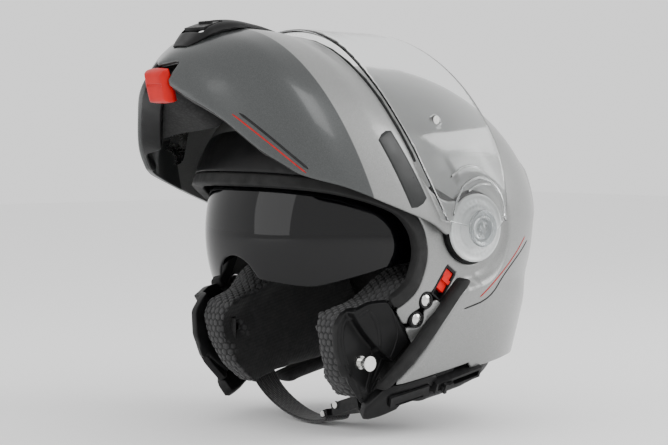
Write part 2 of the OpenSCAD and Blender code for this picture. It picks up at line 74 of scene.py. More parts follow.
# ---------------------------------------------------------------- sizes of the helmet
LIFT = math.radians(72.0)  # how far the chin bar is raised at rest
MID_X = 8.0
DOME_Z, CROWN_Z = 5.0, 115.0
SHELL_W, BROW_X, REAR_X = 120.0, 132.0, 125.0
SHELL_T, SKIN_T = 3.5, 4.0
FRONT = [(-152, 157), (-148, 160), (-140, 165), (-120, 171), (-100, 174), (-80, 172), (-60, 165), (-34, 153),
         (-17, 148), (5, 132)]
REAR = [(-152, 70), (-110, 86), (-95, 93), (-86, 95), (-61, 103), (-40, 112), (-17, 121), (5, 125)]
WIDTH = [(-152, 82), (-135, 90), (-119, 98), (-105, 108), (-91, 114), (-70, 117.5), (-40, 119.5), (5, 120)]
ROUND = [(-152, 1.5), (-137, 1.65), (-119, 2.05), (-105, 2.2), (-91, 2.3), (-60, 2.3), (-34, 2.1), (5, 2.1)]
# How far the shell may stand from the mid plane where the chin bar swings past it, by distance from the hinge
SWEEP = [(0, 112), (60, 112), (78, 107.5), (88, 102), (98, 97), (112, 93.5), (125, 90.5), (135, 87), (145, 81),
         (152, 75), (200, 10)]
BROW_SWEEP = [(0, 112), (60, 112), (78, 103), (90, 95.5), (100, 86.5), (110, 76), (120, 63), (130, 46), (135, 30),
              (137, 0)]

OPENING = [(260, 34), (131, 34), (104, 30), (84, 24), (62, 14), (48, 0), (44, -18), (52, -38), (66, -51),
           (92, -56), (99, -66), (98, -84), (88, -106), (74, -122), (66, -160), (260, -160)]
JAW = [(68, -49), (45, -79), (66, -108), (74, -122), (88, -106), (98, -84), (99, -66), (92, -56), (80, -50)]
BAND = [(16, 29), (-1, -33), (14, -36), (39, -69), (60, -95), (72, -112), (84, -126)]
SHELL_EDGE = [(-300, -92), (-45, -94), (-2, -99), (1, -95), (57, -107), (300, -116)]
RIM_LINE = [(-300, -97), (-85, -97), (-45, -99), (-8, -107), (29, -117), (60, -131), (80, -136), (300, -136)]
CHIN = [(-3, -23), (15.5, -35.5), (41, -68), (62, -94), (73.5, -111), (79.5, -117.5), (84, -120), (100, -130),
        (130, -139), (150, -149), (220, -149), (220, -30), (150, -31), (127, -34), (91, -36), (45, -35),
        (27, -24), (20, 14), (-20, 12)]
VISOR_SIDE = [(-14, -22), (8, -27), (45, -33), (91, -34), (127, -31), (150, -24), (170, -20), (170, 34),
              (122, 41), (84, 40), (40, 36), (-4, 26)]
SUN_OUTLINE = [(24, 24), (112, 36), (140, 40), (140, -20), (119, -36), (100, -41), (60, -28), (24, -20)]
SUN_AXIS, SUN_R, SUN_W, SUN_T = (12.0, -5.0), 112.0, 96.0, 2.0
STUDS = [(40.0, -49.0), (46.0, -62.0)]
PJ_AT, PJ_TURN = (24.0, -38.0), math.radians(53.0)
LENS_PIN = (80.0, -3.0)
STRAP_X, STRAP_W = 44.0, 22.0


# ---------------------------------------------------------------- curves and outlines
def curve(points):
    """A smooth function through points in order of x, that never overshoots them."""
    x, y = np.array(points, float).T
    h, slope = np.diff(x), np.diff(y) / np.diff(x)
    m = np.zeros(len(x))
    same = slope[:-1] * slope[1:] > 0
    w1, w2 = 2 * h[1:] + h[:-1], h[1:] + 2 * h[:-1]
    with np.errstate(divide="ignore", invalid="ignore"):
        m[1:-1] = np.where(same, (w1 + w2) / (w1 / slope[:-1] + w2 / slope[1:]), 0.0)
    m[0], m[-1] = slope[0], slope[-1]

    def f(v):
        v = np.clip(v, x[0], x[-1])
        i = np.clip(np.searchsorted(x, v) - 1, 0, len(h) - 1)
        t = (v - x[i]) / h[i]
        return ((1 + 2 * t) * (1 - t) ** 2 * y[i] + t * (1 - t) ** 2 * h[i] * m[i]
                + t * t * (3 - 2 * t) * y[i + 1] + t * t * (t - 1) * h[i] * m[i + 1])

    return f


def fillet(outline, radius, arc=5):
    """The closed outline with each corner turned into an arc."""
    p = np.array(outline, float)
    made = []
    for i in range(len(p)):
        a, b, c = p[i - 1], p[i], p[(i + 1) % len(p)]
        u, v = a - b, c - b
        reach = min(radius, np.linalg.norm(u) * 0.45, np.linalg.norm(v) * 0.45)
        u, v = u / np.linalg.norm(u), v / np.linalg.norm(v)
        for k in range(arc + 1):
            t = k / arc
            made.append(b + u * reach * (1 - t) ** 2 + v * reach * t * t)
    return np.array(made)


def distance(outline, x, z):
    """Signed distance of side-view points from a closed outline, negative inside."""
    p = np.asarray(outline, float)
    q = np.roll(p, -1, axis=0)
    shape = np.shape(x)
    x, z = np.ravel(x), np.ravel(z)
    best = np.full(x.shape, 1e18)
    inside = np.zeros(x.shape, bool)
    for (ax, az), (bx, bz) in zip(p, q):
        ex, ez = bx - ax, bz - az
        t = np.clip(((x - ax) * ex + (z - az) * ez) / (ex * ex + ez * ez + 1e-12), 0, 1)
        best = np.minimum(best, (x - ax - t * ex) ** 2 + (z - az - t * ez) ** 2)
        if az != bz:
            crosses = ((az > z) != (bz > z)) & (x < ex * (z - az) / ez + ax)
            inside ^= crosses
    d = np.sqrt(best)
    return np.where(inside, -d, d).reshape(shape)


def xyz(p):
    """The coordinates of a grid of points, one array each."""
    return p[..., 0], p[..., 1], p[..., 2]


def ramp(v, low, high):
    """0 below low, 1 above high, smooth between."""
    t = np.clip((v - low) / (high - low), 0, 1)
    return t * t * (3 - 2 * t)


def soft_min(a, b, k):
    """The smaller of a and b, blended over k."""
    h = np.clip(0.5 + 0.5 * (b - a) / k, 0, 1)
    return b * (1 - h) + a * h - k * h * (1 - h)


# ---------------------------------------------------------------- the helmet's surfaces
front_x, rear_x, half_w, roundness = curve(FRONT), curve(REAR), curve(WIDTH), curve(ROUND)
sweep_y, brow_sweep_y = curve(SWEEP), curve(BROW_SWEEP)


def shell_edge_z(x):
    return np.interp(x, *np.array(SHELL_EDGE).T)


def rim_z(x):
    return np.interp(x, *np.array(RIM_LINE).T)


def body_at(x, y, z, o=0.0):
    """Below 0 inside the closed helmet's body moved in by o, above 0 outside."""
    t = np.clip((z - DOME_Z) / (CROWN_Z - DOME_Z - o), 0, 1)
    high = z > DOME_Z
    front = np.where(high, (BROW_X - MID_X - o) * (1 - t ** 2.15) ** (1 / 2.15), front_x(z) - MID_X - o)
    back = np.where(high, (REAR_X + MID_X - o) * (1 - t ** 1.75) ** (1 / 1.75), rear_x(z) + MID_X - o)
    wide = np.where(high, (SHELL_W - o) * (1 - t ** 2.05) ** (1 / 2.05), half_w(z) - o)
    n = np.where(high, 2.1, roundness(z))
    along = np.abs(x - MID_X) / np.maximum(np.where(x > MID_X, front, back), 0.3)
    return along ** n + (np.abs(y) / np.maximum(wide, 0.3)) ** n - 1


VISOR_FRONT = curve([(-60, 161), (-34, 157), (-20, 154), (0, 147), (20, 140), (40, 133), (60, 125)])


def visor_at(x, y, z):
    """Below 0 inside the clear visor's surface on the closed helmet."""
    along = np.where(x > MID_X, np.abs(x - MID_X) / (VISOR_FRONT(z) - MID_X), np.abs(x - MID_X) / 168.0)
    return along ** 2.05 + (np.abs(y) / 124.0) ** 2.05 - 1


def rays(step, u0=0.0, u1=360.0, v0=-89.0, v1=89.0):
    """Directions on a globe whose poles are on the hinge axis: u turns about it, v leaves the mid plane."""
    nu = int(round((u1 - u0) / step)) + (0 if u1 - u0 >= 360 else 1)
    nv = int(round((v1 - v0) / step)) + 1
    u = np.radians(u0 + np.arange(nu) * (u1 - u0) / (nu if u1 - u0 >= 360 else nu - 1))[:, None]
    v = np.radians(np.linspace(v0, v1, nv))[None, :]
    return np.stack([np.cos(v) * np.cos(u), np.sin(v) + 0 * u, np.cos(v) * np.sin(u)], axis=-1)


def reach(d, inside, most=260.0):
    """How far each ray gets before it leaves a solid, by halving."""
    low, high = np.zeros(d.shape[:-1]), np.full(d.shape[:-1], most)
    for _ in range(26):
        mid = (low + high) / 2
        out = inside(d[..., 0] * mid, d[..., 1] * mid, d[..., 2] * mid) > 0
        high, low = np.where(out, mid, high), np.where(out, low, mid)
    return (low + high) / 2


def lens_reach(d, profile, grow=0.0):
    return reach(d, lambda x, y, z: np.abs(y) - profile(np.hypot(x, z) - grow) - grow)


REAR_ZONE = [(70, 132), (70, 300), (-300, 300), (-300, -300), (84, -300)] + BAND[::-1]


def shell_reach(d):
    """The outer shell: held inside the sweep in front of the step, full width behind it."""
    body = reach(d, body_at)
    held = soft_min(body, lens_reach(d, sweep_y), 5.0)
    x, z = d[..., 0] * held, d[..., 2] * held
    behind = ramp(-distance(REAR_ZONE, x, z), 1.5, 5.0) * ramp(np.hypot(x, z), 33.0, 37.0)
    return held + (body - held) * behind


# ---------------------------------------------------------------- meshes
def mesh(name, verts, faces):
    m = bpy.data.meshes.new(name)
    points = [tuple(float(c) * MM for c in v) for v in verts]
    m.from_pydata(points, [], [tuple(int(i) for i in f) for f in faces])
    m.update()
    m.polygons.foreach_set("use_smooth", [True] * len(m.polygons))
    o = bpy.data.objects.new(name, m)
    bpy.context.scene.collection.objects.link(o)
    return o


def recalculated(o):
    """The same mesh with every face looking outward."""
    b = bmesh.new()
    b.from_mesh(o.data)
    bmesh.ops.recalc_face_normals(b, faces=b.faces)
    b.to_mesh(o.data)
    b.free()
    return o


def turn_y(points, angle):
    """Points turned about the hinge axis, right-handed about +Y."""
    p = np.asarray(points, float)
    c, s = math.cos(angle), math.sin(angle)
    return np.stack([p[..., 0] * c + p[..., 2] * s, p[..., 1], -p[..., 0] * s + p[..., 2] * c], axis=-1)


def raised(points):
    return turn_y(points, -LIFT)


def vertex_normals(p, faces):
    n = np.zeros_like(p)
    by_size = {}
    for f in faces:
        by_size.setdefault(len(f), []).append(f)
    for k, group in by_size.items():
        f = np.array(group)
        c = p[f]
        fn = np.zeros((len(f), 3))
        for i in range(1, k - 1):
            fn += np.cross(c[:, i] - c[:, 0], c[:, i + 1] - c[:, 0])
        for i in range(k):
            np.add.at(n, f[:, i], fn)
    return n / np.maximum(np.linalg.norm(n, axis=1, keepdims=True), 1e-12)


def clipped(grids, g, wrap, least=40):
    """Cuts a grid of points where g passes 0 and keeps the part below it.
    grids is a list of arrays of the same shape, cut alike. Returns their points, the faces and the rims."""
    nu, nv = g.shape
    pts = [np.array(a, float).reshape(nu * nv, -1) for a in grids]
    g = g.ravel().copy()
    idx = np.arange(nu * nv).reshape(nu, nv)
    rows = nu if wrap else nu - 1
    a = idx[:rows, :-1].ravel()
    b = np.roll(idx, -1, axis=0)[:rows, :-1].ravel()
    c = np.roll(idx, -1, axis=0)[:rows, 1:].ravel()
    d = idx[:rows, 1:].ravel()
    quads = np.stack([a, b, c, d], axis=1)
    edges = np.concatenate([quads[:, [0, 1]], quads[:, [0, 3]], quads[:, [1, 2]], quads[:, [3, 2]]])
    edges = np.unique(np.sort(edges, axis=1), axis=0)
    cut = g[edges[:, 0]] * g[edges[:, 1]] < 0
    e = edges[cut]
    t = g[e[:, 0]] / (g[e[:, 0]] - g[e[:, 1]])
    order = np.argsort(np.minimum(t, 1 - t))
    snapped = {}
    for k in order:
        if min(t[k], 1 - t[k]) > 0.32:
            break
        near, other = (e[k, 0], e[k, 1]) if t[k] < 0.5 else (e[k, 1], e[k, 0])
        if near not in snapped:
            snapped[near] = (other, t[k] if t[k] < 0.5 else 1 - t[k])
    moved = [q.copy() for q in pts]
    for near, (other, s) in snapped.items():
        for q, m in zip(pts, moved):
            m[near] = q[near] + (q[other] - q[near]) * s
        g[near] = 0.0
    pts = moved
    sign = np.sign(g)
    s4 = sign[quads]
    whole = (s4 <= 0).all(1) & (s4 < 0).any(1)
    faces = [tuple(f) for f in quads[whole]]
    mixed = quads[(s4 > 0).any(1) & (s4 < 0).any(1)]
    extra, new = {}, []
    for f in mixed:
        poly = []
        for k in range(4):
            p, q = int(f[k]), int(f[(k + 1) % 4])
            if g[p] <= 0:
                poly.append(p)
            if g[p] * g[q] < 0:
                key = (min(p, q), max(p, q))
                if key not in extra:
                    extra[key] = nu * nv + len(new)
                    new.append((key[0], key[1], g[key[0]] / (g[key[0]] - g[key[1]])))
                poly.append(extra[key])
        if len(poly) >= 3:
            faces.append(tuple(poly))
    if new:
        n = np.array([x[:2] for x in new], int)
        w = np.array([x[2] for x in new])[:, None]
        pts = [np.concatenate([q, q[n[:, 0]] + (q[n[:, 1]] - q[n[:, 0]]) * w]) for q in pts]
    # drop scraps
    parent = {}

    def root(i):
        while parent.setdefault(i, i) != i:
            parent[i] = parent[parent[i]]
            i = parent[i]
        return i

    for f in faces:
        r = root(f[0])
        for i in f[1:]:
            parent[root(i)] = r
    size = {}
    for f in faces:
        size[root(f[0])] = size.get(root(f[0]), 0) + 1
    faces = [f for f in faces if size[root(f[0])] >= least]
    used = np.unique(np.concatenate([np.array(f) for f in faces]))
    new_index = {int(o): k for k, o in enumerate(used)}
    faces = [tuple(new_index[int(i)] for i in f) for f in faces]
    pts = [q[used] for q in pts]
    follows = {}
    for f in faces:
        for k in range(len(f)):
            follows[(f[k], f[(k + 1) % len(f)])] = True
    ahead = {}
    for p, q in follows:
        if (q, p) not in follows:
            ahead.setdefault(p, []).append(q)
    rims = []
    while ahead:
        start = next(iter(ahead))
        loop, at = [start], ahead[start].pop()
        if not ahead[start]:
            del ahead[start]
        while at != start:
            loop.append(at)
            nxt = ahead[at].pop()
            if not ahead[at]:
                del ahead[at]
            at = nxt
        rims.append(loop)
    return pts, faces, rims


def solid(name, outer, g, thick=3.0, inner=None, edge=1.0, edge_in=None, steps=3, wrap=True, place=None,
          least=40):
    """A closed wall with rounded rims: the outer grid cut at g, and an inner one, given or thick below it."""
    edge_in = edge if edge_in is None else edge_in
    grids = [outer] if inner is None else [outer, inner]
    pts, faces, rims = clipped(grids, g + edge, wrap, least)
    p = pts[0]
    n = vertex_normals(p, faces)
    if (p * n).sum() < 0:
        faces = [f[::-1] for f in faces]
        rims = [r[::-1] for r in rims]
        n = -n
    q = p - n * thick if inner is None else pts[1]
    nq = n if inner is None else vertex_normals(q, faces)
    verts = [p, q]
    count = len(p)
    all_faces = list(faces) + [tuple(count + i for i in f[::-1]) for f in faces]
    base = 2 * count
    for loop in rims:
        r = np.array(loop)

        def outward(pos, nor):
            tangent = np.roll(pos[r], -1, axis=0) - np.roll(pos[r], 1, axis=0)
            away = np.cross(tangent, nor[r])
            for _ in range(2):
                away = away + 0.5 * (np.roll(away, 1, axis=0) + np.roll(away, -1, axis=0))
            return away / np.maximum(np.linalg.norm(away, axis=1, keepdims=True), 1e-12)

        da, db = outward(p, n), outward(q, nq)
        rings = []
        for k in range(1, steps + 1):
            a = math.pi / 2 * k / steps
            rings.append(p[r] + da * edge * math.sin(a) - n[r] * edge * (1 - math.cos(a)))
        for k in range(steps):
            a = math.pi / 2 * k / steps
            rings.append(q[r] + db * edge_in * math.cos(a) + nq[r] * edge_in * (1 - math.sin(a)))
        verts.extend(rings)
        m = len(r)
        ids = [r] + [base + k * m + np.arange(m) for k in range(len(rings))] + [count + r]
        base += len(rings) * m
        for i0, i1 in zip(ids[:-1], ids[1:]):
            for k in range(m):
                k2 = (k + 1) % m
                all_faces.append((i0[k2], i0[k], i1[k], i1[k2]))
    v = np.concatenate(verts)
    return mesh(name, place(v) if place else v, all_faces)


def lathe(name, profile, at, side=1, turns=48, place=None):
    """A turned piece along +Y or -Y at a side-view place. profile is [(radius, y)] from end to end."""
    rings, faces = [], []
    prof = np.array(profile, float)
    a = np.linspace(0, 2 * math.pi, turns, endpoint=False)
    for radius, y in prof:
        ring = [at[0] + radius * np.cos(a), np.full(turns, side * y), at[1] + radius * np.sin(a)]
        rings.append(np.stack(ring, axis=1))
    for k in range(len(prof) - 1):
        for i in range(turns):
            j = (i + 1) % turns
            f = (k * turns + i, k * turns + j, (k + 1) * turns + j, (k + 1) * turns + i)
            faces.append(f if side > 0 else f[::-1])
    first, last = tuple(range(turns)), tuple((len(prof) - 1) * turns + i for i in range(turns))
    faces += [first[::-1], last] if side > 0 else [first, last[::-1]]
    v = np.concatenate(rings)
    return mesh(name, place(v) if place else v, [f[::-1] for f in faces])


def ring_lathe(name, profile, side, teeth, tooth):
    """A turned ring about the hinge axis with detent teeth round its outer bands."""
    turns = teeth * 6
    a = np.linspace(0, 2 * math.pi, turns, endpoint=False)
    wave = np.clip(np.cos(a * teeth) * 1.6, -1, 1) * tooth / 2
    verts = []
    for radius, y in profile:
        r = radius + (wave if 14 < radius < 19 else 0 * a)
        verts.append(np.stack([r * np.cos(a), np.full(turns, side * y), r * np.sin(a)], axis=1))
    k = len(profile)
    faces = []
    for i in range(k):
        for j in range(turns):
            this, after, turn = i * turns, (i + 1) % k * turns, (j + 1) % turns
            faces.append((this + j, this + turn, after + turn, after + j))
    return recalculated(mesh(name, raised(np.concatenate(verts)), faces))


def bevel(node, width=0.4, segments=3, angle=35):
    """Rounds the sharp edges of a CAD node that is kept."""
    o = NODES[node]
    b = o.modifiers.new("edges", "BEVEL")
    b.width, b.segments, b.limit_method, b.angle_limit = width * MM, segments, "ANGLE", math.radians(angle)
    b.harden_normals = False
    o.data.polygons.foreach_set("use_smooth", [True] * len(o.data.polygons))
    w = o.modifiers.new("shade", "WEIGHTED_NORMAL")
    w.keep_sharp = False
    return o


# ---------------------------------------------------------------- materials
def material(name, color, rough, **sockets):
    """A new principled material, with what its surface detail hangs on."""
    m = bpy.data.materials.new(name)
    m.use_nodes = True
    m.diffuse_color = (*color, 1.0)
    b = m.node_tree.nodes["Principled BSDF"]
    b.inputs["Base Color"].default_value = (*color, 1.0)
    b.inputs["Roughness"].default_value = rough
    for key, value in sockets.items():
        b.inputs[key.replace("_", " ")].default_value = value
    return m


def node(m, kind, **values):
    n = m.node_tree.nodes.new("ShaderNode" + kind)
    for key, value in values.items():
        if hasattr(n, key):
            setattr(n, key, value)
        else:
            n.inputs[key.replace("_", " ")].default_value = value
    return n


def link(m, out, into):
    m.node_tree.links.new(out, into)


def noise(m, scale, detail=3.0, stretch=(1, 1, 1)):
    """Noise in the object's own coordinates; scale is in features per metre."""
    co, mp = node(m, "TexCoord"), node(m, "Mapping")
    mp.inputs["Scale"].default_value = stretch
    n = node(m, "TexNoise", Scale=scale, Detail=detail)
    link(m, co.outputs["Object"], mp.inputs["Vector"])
    link(m, mp.outputs["Vector"], n.inputs["Vector"])
    return n.outputs["Fac"]


def spread(m, fac, low, high, a=0.3, b=0.7):
    """A number from low to high as fac goes from a to b."""
    r = node(m, "MapRange")
    r.inputs["From Min"].default_value, r.inputs["From Max"].default_value = a, b
    r.inputs["To Min"].default_value, r.inputs["To Max"].default_value = low, high
    link(m, fac, r.inputs["Value"])
    return r.outputs["Result"]


def tint(m, fac, *stops):
    """A colour picked along fac. stops are (place, colour)."""
    r = node(m, "ValToRGB")
    e = r.color_ramp.elements
    while len(e) < len(stops):
        e.new(0.5)
    for k, (place, color) in enumerate(stops):
        e[k].position, e[k].color = place, (*color, 1.0)
    link(m, fac, r.inputs["Fac"])
    return r.outputs["Color"]


def paint(m, color_out=None, rough_out=None, bumps=()):
    """Joins colour, roughness and a chain of bumps, each (height, strength, distance), to the shader."""
    b = m.node_tree.nodes["Principled BSDF"]
    if color_out:
        link(m, color_out, b.inputs["Base Color"])
    if rough_out:
        link(m, rough_out, b.inputs["Roughness"])
    last = None
    for height, strength, depth in bumps:
        n = node(m, "Bump", Strength=strength, Distance=depth)
        link(m, height, n.inputs["Height"])
        if last:
            link(m, last, n.inputs["Normal"])
        last = n.outputs["Normal"]
    if last:
        link(m, last, b.inputs["Normal"])
    return m


def worn(m, color, edge_color, amount=0.5):
    """The colour, lighter where the surface turns over an edge, broken up by noise."""
    geo = node(m, "NewGeometry")
    edge = spread(m, geo.outputs["Pointiness"], 0.0, amount, 0.52, 0.62)
    broken = node(m, "Math", operation="MULTIPLY")
    link(m, edge, broken.inputs[0])
    link(m, spread(m, noise(m, 260.0), 0.2, 1.0), broken.inputs[1])
    mix = node(m, "Mix", data_type="RGBA")
    link(m, broken.outputs["Value"], mix.inputs["Factor"])
    link(m, color, mix.inputs[6])
    mix.inputs[7].default_value = (*edge_color, 1.0)
    return mix.outputs[2]


def satin_paint(name, dark, mid, light, rough=0.36):
    m = material(name, mid, rough, Metallic=0.5, Coat_Weight=0.5, Coat_Roughness=0.12)
    flake = noise(m, 2600.0, 1.0)
    color = tint(m, flake, (0.30, dark), (0.52, mid), (0.74, light))
    rubbed = worn(m, color, tuple(c * 1.5 for c in light), 0.2)
    return paint(m, rubbed, spread(m, noise(m, 9.0, 2.0), rough - 0.03, rough + 0.05),
                 [(flake, 0.05, 0.0002), (noise(m, 240.0, 2.0), 0.02, 0.0006)])


def two_tone(name, dark, light):
    """The chin bar's paint: dark below and lighter above one clean line on the closed chin bar."""
    m = satin_paint(name, *dark)
    co, parts = node(m, "TexCoord"), node(m, "SeparateXYZ")
    link(m, co.outputs["Object"], parts.inputs[0])
    # height on the closed chin bar, from the raised coordinates
    down = node(m, "Math", operation="MULTIPLY")
    down.inputs[1].default_value = -math.sin(LIFT)
    link(m, parts.outputs["X"], down.inputs[0])
    up = node(m, "Math", operation="MULTIPLY_ADD")
    up.inputs[1].default_value = math.cos(LIFT)
    link(m, parts.outputs["Z"], up.inputs[0])
    link(m, down.outputs[0], up.inputs[2])
    upper = spread(m, up.outputs[0], 0.0, 1.0, TONE_Z * MM - 0.0004, TONE_Z * MM + 0.0004)
    b = m.node_tree.nodes["Principled BSDF"]
    old = b.inputs["Base Color"].links[0].from_socket
    flake = tint(m, noise(m, 2600.0, 1.0), (0.30, light[0]), (0.52, light[1]), (0.74, light[2]))
    mix = node(m, "Mix", data_type="RGBA")
    link(m, upper, mix.inputs["Factor"])
    link(m, old, mix.inputs[6])
    link(m, flake, mix.inputs[7])
    link(m, mix.outputs[2], b.inputs["Base Color"])
    return m


def moulded(name, dark, light, rough, grain=1500.0, depth=0.16):
    m = material(name, dark, rough, Specular_IOR_Level=0.2)
    color = tint(m, noise(m, 60.0), (0.35, dark), (0.68, light))
    rubbed = worn(m, color, tuple(c * 1.8 + 0.012 for c in light))
    return paint(m, rubbed, spread(m, noise(m, 90.0), rough - 0.07, rough + 0.08),
                 [(noise(m, grain, 2.0), depth, 0.0004)])


def rubber():
    m = material("seal_rubber", (0.009, 0.009, 0.009), 0.7, Specular_IOR_Level=0.3)
    color = tint(m, noise(m, 45.0), (0.35, (0.006, 0.006, 0.006)), (0.7, (0.012, 0.012, 0.012)))
    return paint(m, worn(m, color, (0.04, 0.04, 0.04), 0.3), spread(m, noise(m, 130.0), 0.6, 0.82),
                 [(noise(m, 900.0), 0.14, 0.0003)])


def bead_foam():
    m = material("bead_foam", (0.03, 0.03, 0.031), 0.85)
    co = node(m, "TexCoord")
    cells = node(m, "TexVoronoi", Scale=330.0, feature="DISTANCE_TO_EDGE")
    link(m, co.outputs["Object"], cells.inputs["Vector"])
    color = tint(m, spread(m, cells.outputs["Distance"], 0.0, 1.0, 0.0, 0.25),
                 (0.0, (0.007, 0.007, 0.007)), (1.0, (0.016, 0.016, 0.016)))
    return paint(m, color, spread(m, noise(m, 80.0), 0.75, 0.92),
                 [(cells.outputs["Distance"], 0.18, 0.0008), (noise(m, 900.0), 0.1, 0.0004)])


def knit(name, dark, light, pitch=0.0011, fuzz=0.12):
    """A fine knitted cloth."""
    m = material(name, dark, 0.85, Sheen_Weight=fuzz, Sheen_Roughness=0.5)
    co = node(m, "TexCoord")
    heights = []
    for axis, turn in (("X", 0.5), ("Z", -0.4)):
        mp = node(m, "Mapping")
        mp.inputs["Rotation"].default_value = (turn, turn * 0.6, turn)
        w = node(m, "TexWave", Scale=1.0 / (pitch * 6.5), bands_direction=axis, Distortion=1.2, Detail=1.0)
        w.inputs["Detail Scale"].default_value = 2.0
        link(m, co.outputs["Object"], mp.inputs["Vector"])
        link(m, mp.outputs["Vector"], w.inputs["Vector"])
        heights.append(w.outputs["Fac"])
    color = tint(m, noise(m, 55.0), (0.3, dark), (0.72, light))
    return paint(m, color, spread(m, noise(m, 300.0), 0.78, 0.95),
                 [(heights[0], 0.25, 0.0003), (heights[1], 0.25, 0.0003), (noise(m, 1800.0), 0.2, 0.0003)])


def honeycomb_cloth():
    """Lining cloth with lighter cells between dark grooves, from the "cell" height that pad() leaves; the darker
    grooves are painted shade.
    """
    m = knit("honeycomb_cloth", (0.004, 0.004, 0.0042), (0.010, 0.010, 0.0105))
    b = m.node_tree.nodes["Principled BSDF"]
    cell = node(m, "Attribute", attribute_name="cell")
    # painted shade: low "cell" heights keep the dark knit colour in the grooves, the raised cells take the lighter
    # tint
    mix = node(m, "Mix", data_type="RGBA")
    link(m, cell.outputs["Fac"], mix.inputs["Factor"])
    link(m, b.inputs["Base Color"].links[0].from_socket, mix.inputs[6])
    raised_cell = tint(m, noise(m, 420.0), (0.3, (0.022, 0.022, 0.023)), (0.7, (0.038, 0.038, 0.039)))
    link(m, raised_cell, mix.inputs[7])
    link(m, mix.outputs[2], b.inputs["Base Color"])
    return m


def strap_weave():
    m = material("strap_weave", (0.02, 0.02, 0.021), 0.7, Sheen_Weight=0.25)
    co = node(m, "TexCoord")
    rib = node(m, "TexWave", Scale=190.0, bands_direction="X", Distortion=0.4)
    cross = node(m, "TexWave", Scale=230.0, bands_direction="DIAGONAL", Distortion=0.3)
    for w in (rib, cross):
        link(m, co.outputs["Object"], w.inputs["Vector"])
    color = tint(m, rib.outputs["Fac"], (0.1, (0.006, 0.006, 0.0065)), (0.9, (0.02, 0.02, 0.021)))
    return paint(m, color, spread(m, noise(m, 200.0), 0.6, 0.85),
                 [(rib.outputs["Fac"], 0.5, 0.0006), (cross.outputs["Fac"], 0.4, 0.0005)])


def metal(name, color, rough):
    m = material(name, color, rough, Metallic=1.0)
    brushed = noise(m, 700.0, 2.0, (1, 6, 1))
    grain = tint(m, brushed, (0.3, tuple(c * 0.86 for c in color)), (0.7, color))
    return paint(m, worn(m, grain, (0.95, 0.95, 0.94), 0.4),
                 spread(m, brushed, rough - 0.06, rough + 0.1), [(brushed, 0.08, 0.0002)])


def clear(name, color, rough, haze=0.05, weight=1.0, **sockets):
    m = material(name, color, rough, Transmission_Weight=weight, IOR=1.5, **sockets)
    smear = noise(m, 14.0, 4.0)
    return paint(m, None, spread(m, smear, rough, rough + haze), [(noise(m, 40.0, 1.0), 0.015, 0.001)])


TONE_Z = -78.0  # height on the closed chin bar where its paint turns lighter
GUNMETAL = ((0.034, 0.037, 0.037), (0.046, 0.049, 0.049), (0.066, 0.070, 0.070))
SILVER = ((0.185, 0.188, 0.185), (0.230, 0.233, 0.229), (0.300, 0.302, 0.298))
CHIN_PAINT = two_tone("paint_two_tone", GUNMETAL, SILVER)
HUB_PLASTIC = clear("hub_plastic", (0.88, 0.90, 0.90), 0.10, 0.1, 0.42, Specular_IOR_Level=0.7)
LOOK = {
    "shell_grey": satin_paint("paint_silver", *SILVER),
    "trim_black": moulded("trim_black", (0.0035, 0.0035, 0.0038), (0.007, 0.007, 0.0073), 0.42),
    "seal_rubber": rubber(),
    "signal_red": moulded("signal_red", (0.40, 0.0015, 0.001), (0.52, 0.003, 0.002), 0.36, 1100.0, 0.08),
    "foam": bead_foam(),
    "lining_cloth": knit("lining_cloth", (0.006, 0.006, 0.0065), (0.014, 0.014, 0.015)),
    "webbing": strap_weave(),
    "bright_steel": metal("bright_steel", (0.74, 0.74, 0.72), 0.2),
    "hub_clear": clear("hub_clear", (0.62, 0.65, 0.66), 0.10, 0.1, 0.9),
    "clear_visor": clear("clear_visor", (0.97, 0.98, 0.98), 0.02, 0.05),
    "smoke_visor": clear("smoke_visor", (0.003, 0.003, 0.004), 0.03, 0.03, 0.6, Specular_IOR_Level=0.04),
}


def finish(piece, body, slot, *nodes, look=None):
    """Puts a piece on its body with its material, in place of the nodes that it stands for."""
    piece.data.materials.clear()
    piece.data.materials.append(look or LOOK[slot])
    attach(piece, body)
    if nodes:
        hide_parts(*nodes)
    return piece


def dress(node_name, slot, width=0.4, segments=3, angle=35, look=None):
    """Keeps a CAD node, with rounded edges and a finished material."""
    o = bevel(node_name, width, segments, angle) if width else NODES[node_name]
    for s in o.material_slots:
        s.material = look or LOOK[slot]
    if not o.material_slots:
        o.data.materials.append(look or LOOK[slot])
    return o


# ---------------------------------------------------------------- outlines as cuts
OPENING_R, JAW_R = fillet(OPENING, 14), fillet(JAW, 2.5)
CHIN_R, VISOR_R, SUN_R_LINE = fillet(CHIN, 9), fillet(VISOR_SIDE, 14), fillet(SUN_OUTLINE, 12)


def rotated(x, z, at, turn):
    """Side-view coordinates along and across a track that slopes by turn."""
    c, s = math.cos(turn), math.sin(turn)
    return (x - at[0]) * c - (z - at[1]) * s, (x - at[0]) * s + (z - at[1]) * c


def box_cut(a, b, half_a, half_b, corner=1.0):
    """Distance from a rounded rectangle."""
    qa, qb = np.abs(a) - half_a + corner, np.abs(b) - half_b + corner
    return np.hypot(np.maximum(qa, 0), np.maximum(qb, 0)) + np.minimum(np.maximum(qa, qb), 0) - corner


LEVER_AT, COMM_AT = (8.0, 106.4, -105.2), (45.0, 97.6, -114.6)
RIM_PITCH, RIM_LEAN, LEVER_YAW, COMM_YAW = 14.0, -35.5, -6.0, -16.0


def on_rim(at, yaw):
    """The place and turn of a part let into the lower rim."""
    return (Matrix.Translation(at) @ Matrix.Rotation(math.radians(yaw), 4, "Z")
            @ Matrix.Rotation(math.radians(RIM_PITCH), 4, "Y") @ Matrix.Rotation(math.radians(RIM_LEAN), 4, "X"))


def rim_pocket(p, at, yaw, half_x, half_z):
    """Distance from the pocket that holds such a part."""
    m = np.array(on_rim(at, yaw).inverted())
    q = p @ m[:3, :3].T + m[:3, 3]
    return np.where(np.abs(q[..., 1]) < 12, box_cut(q[..., 0], q[..., 2], half_x, half_z), 50.0)


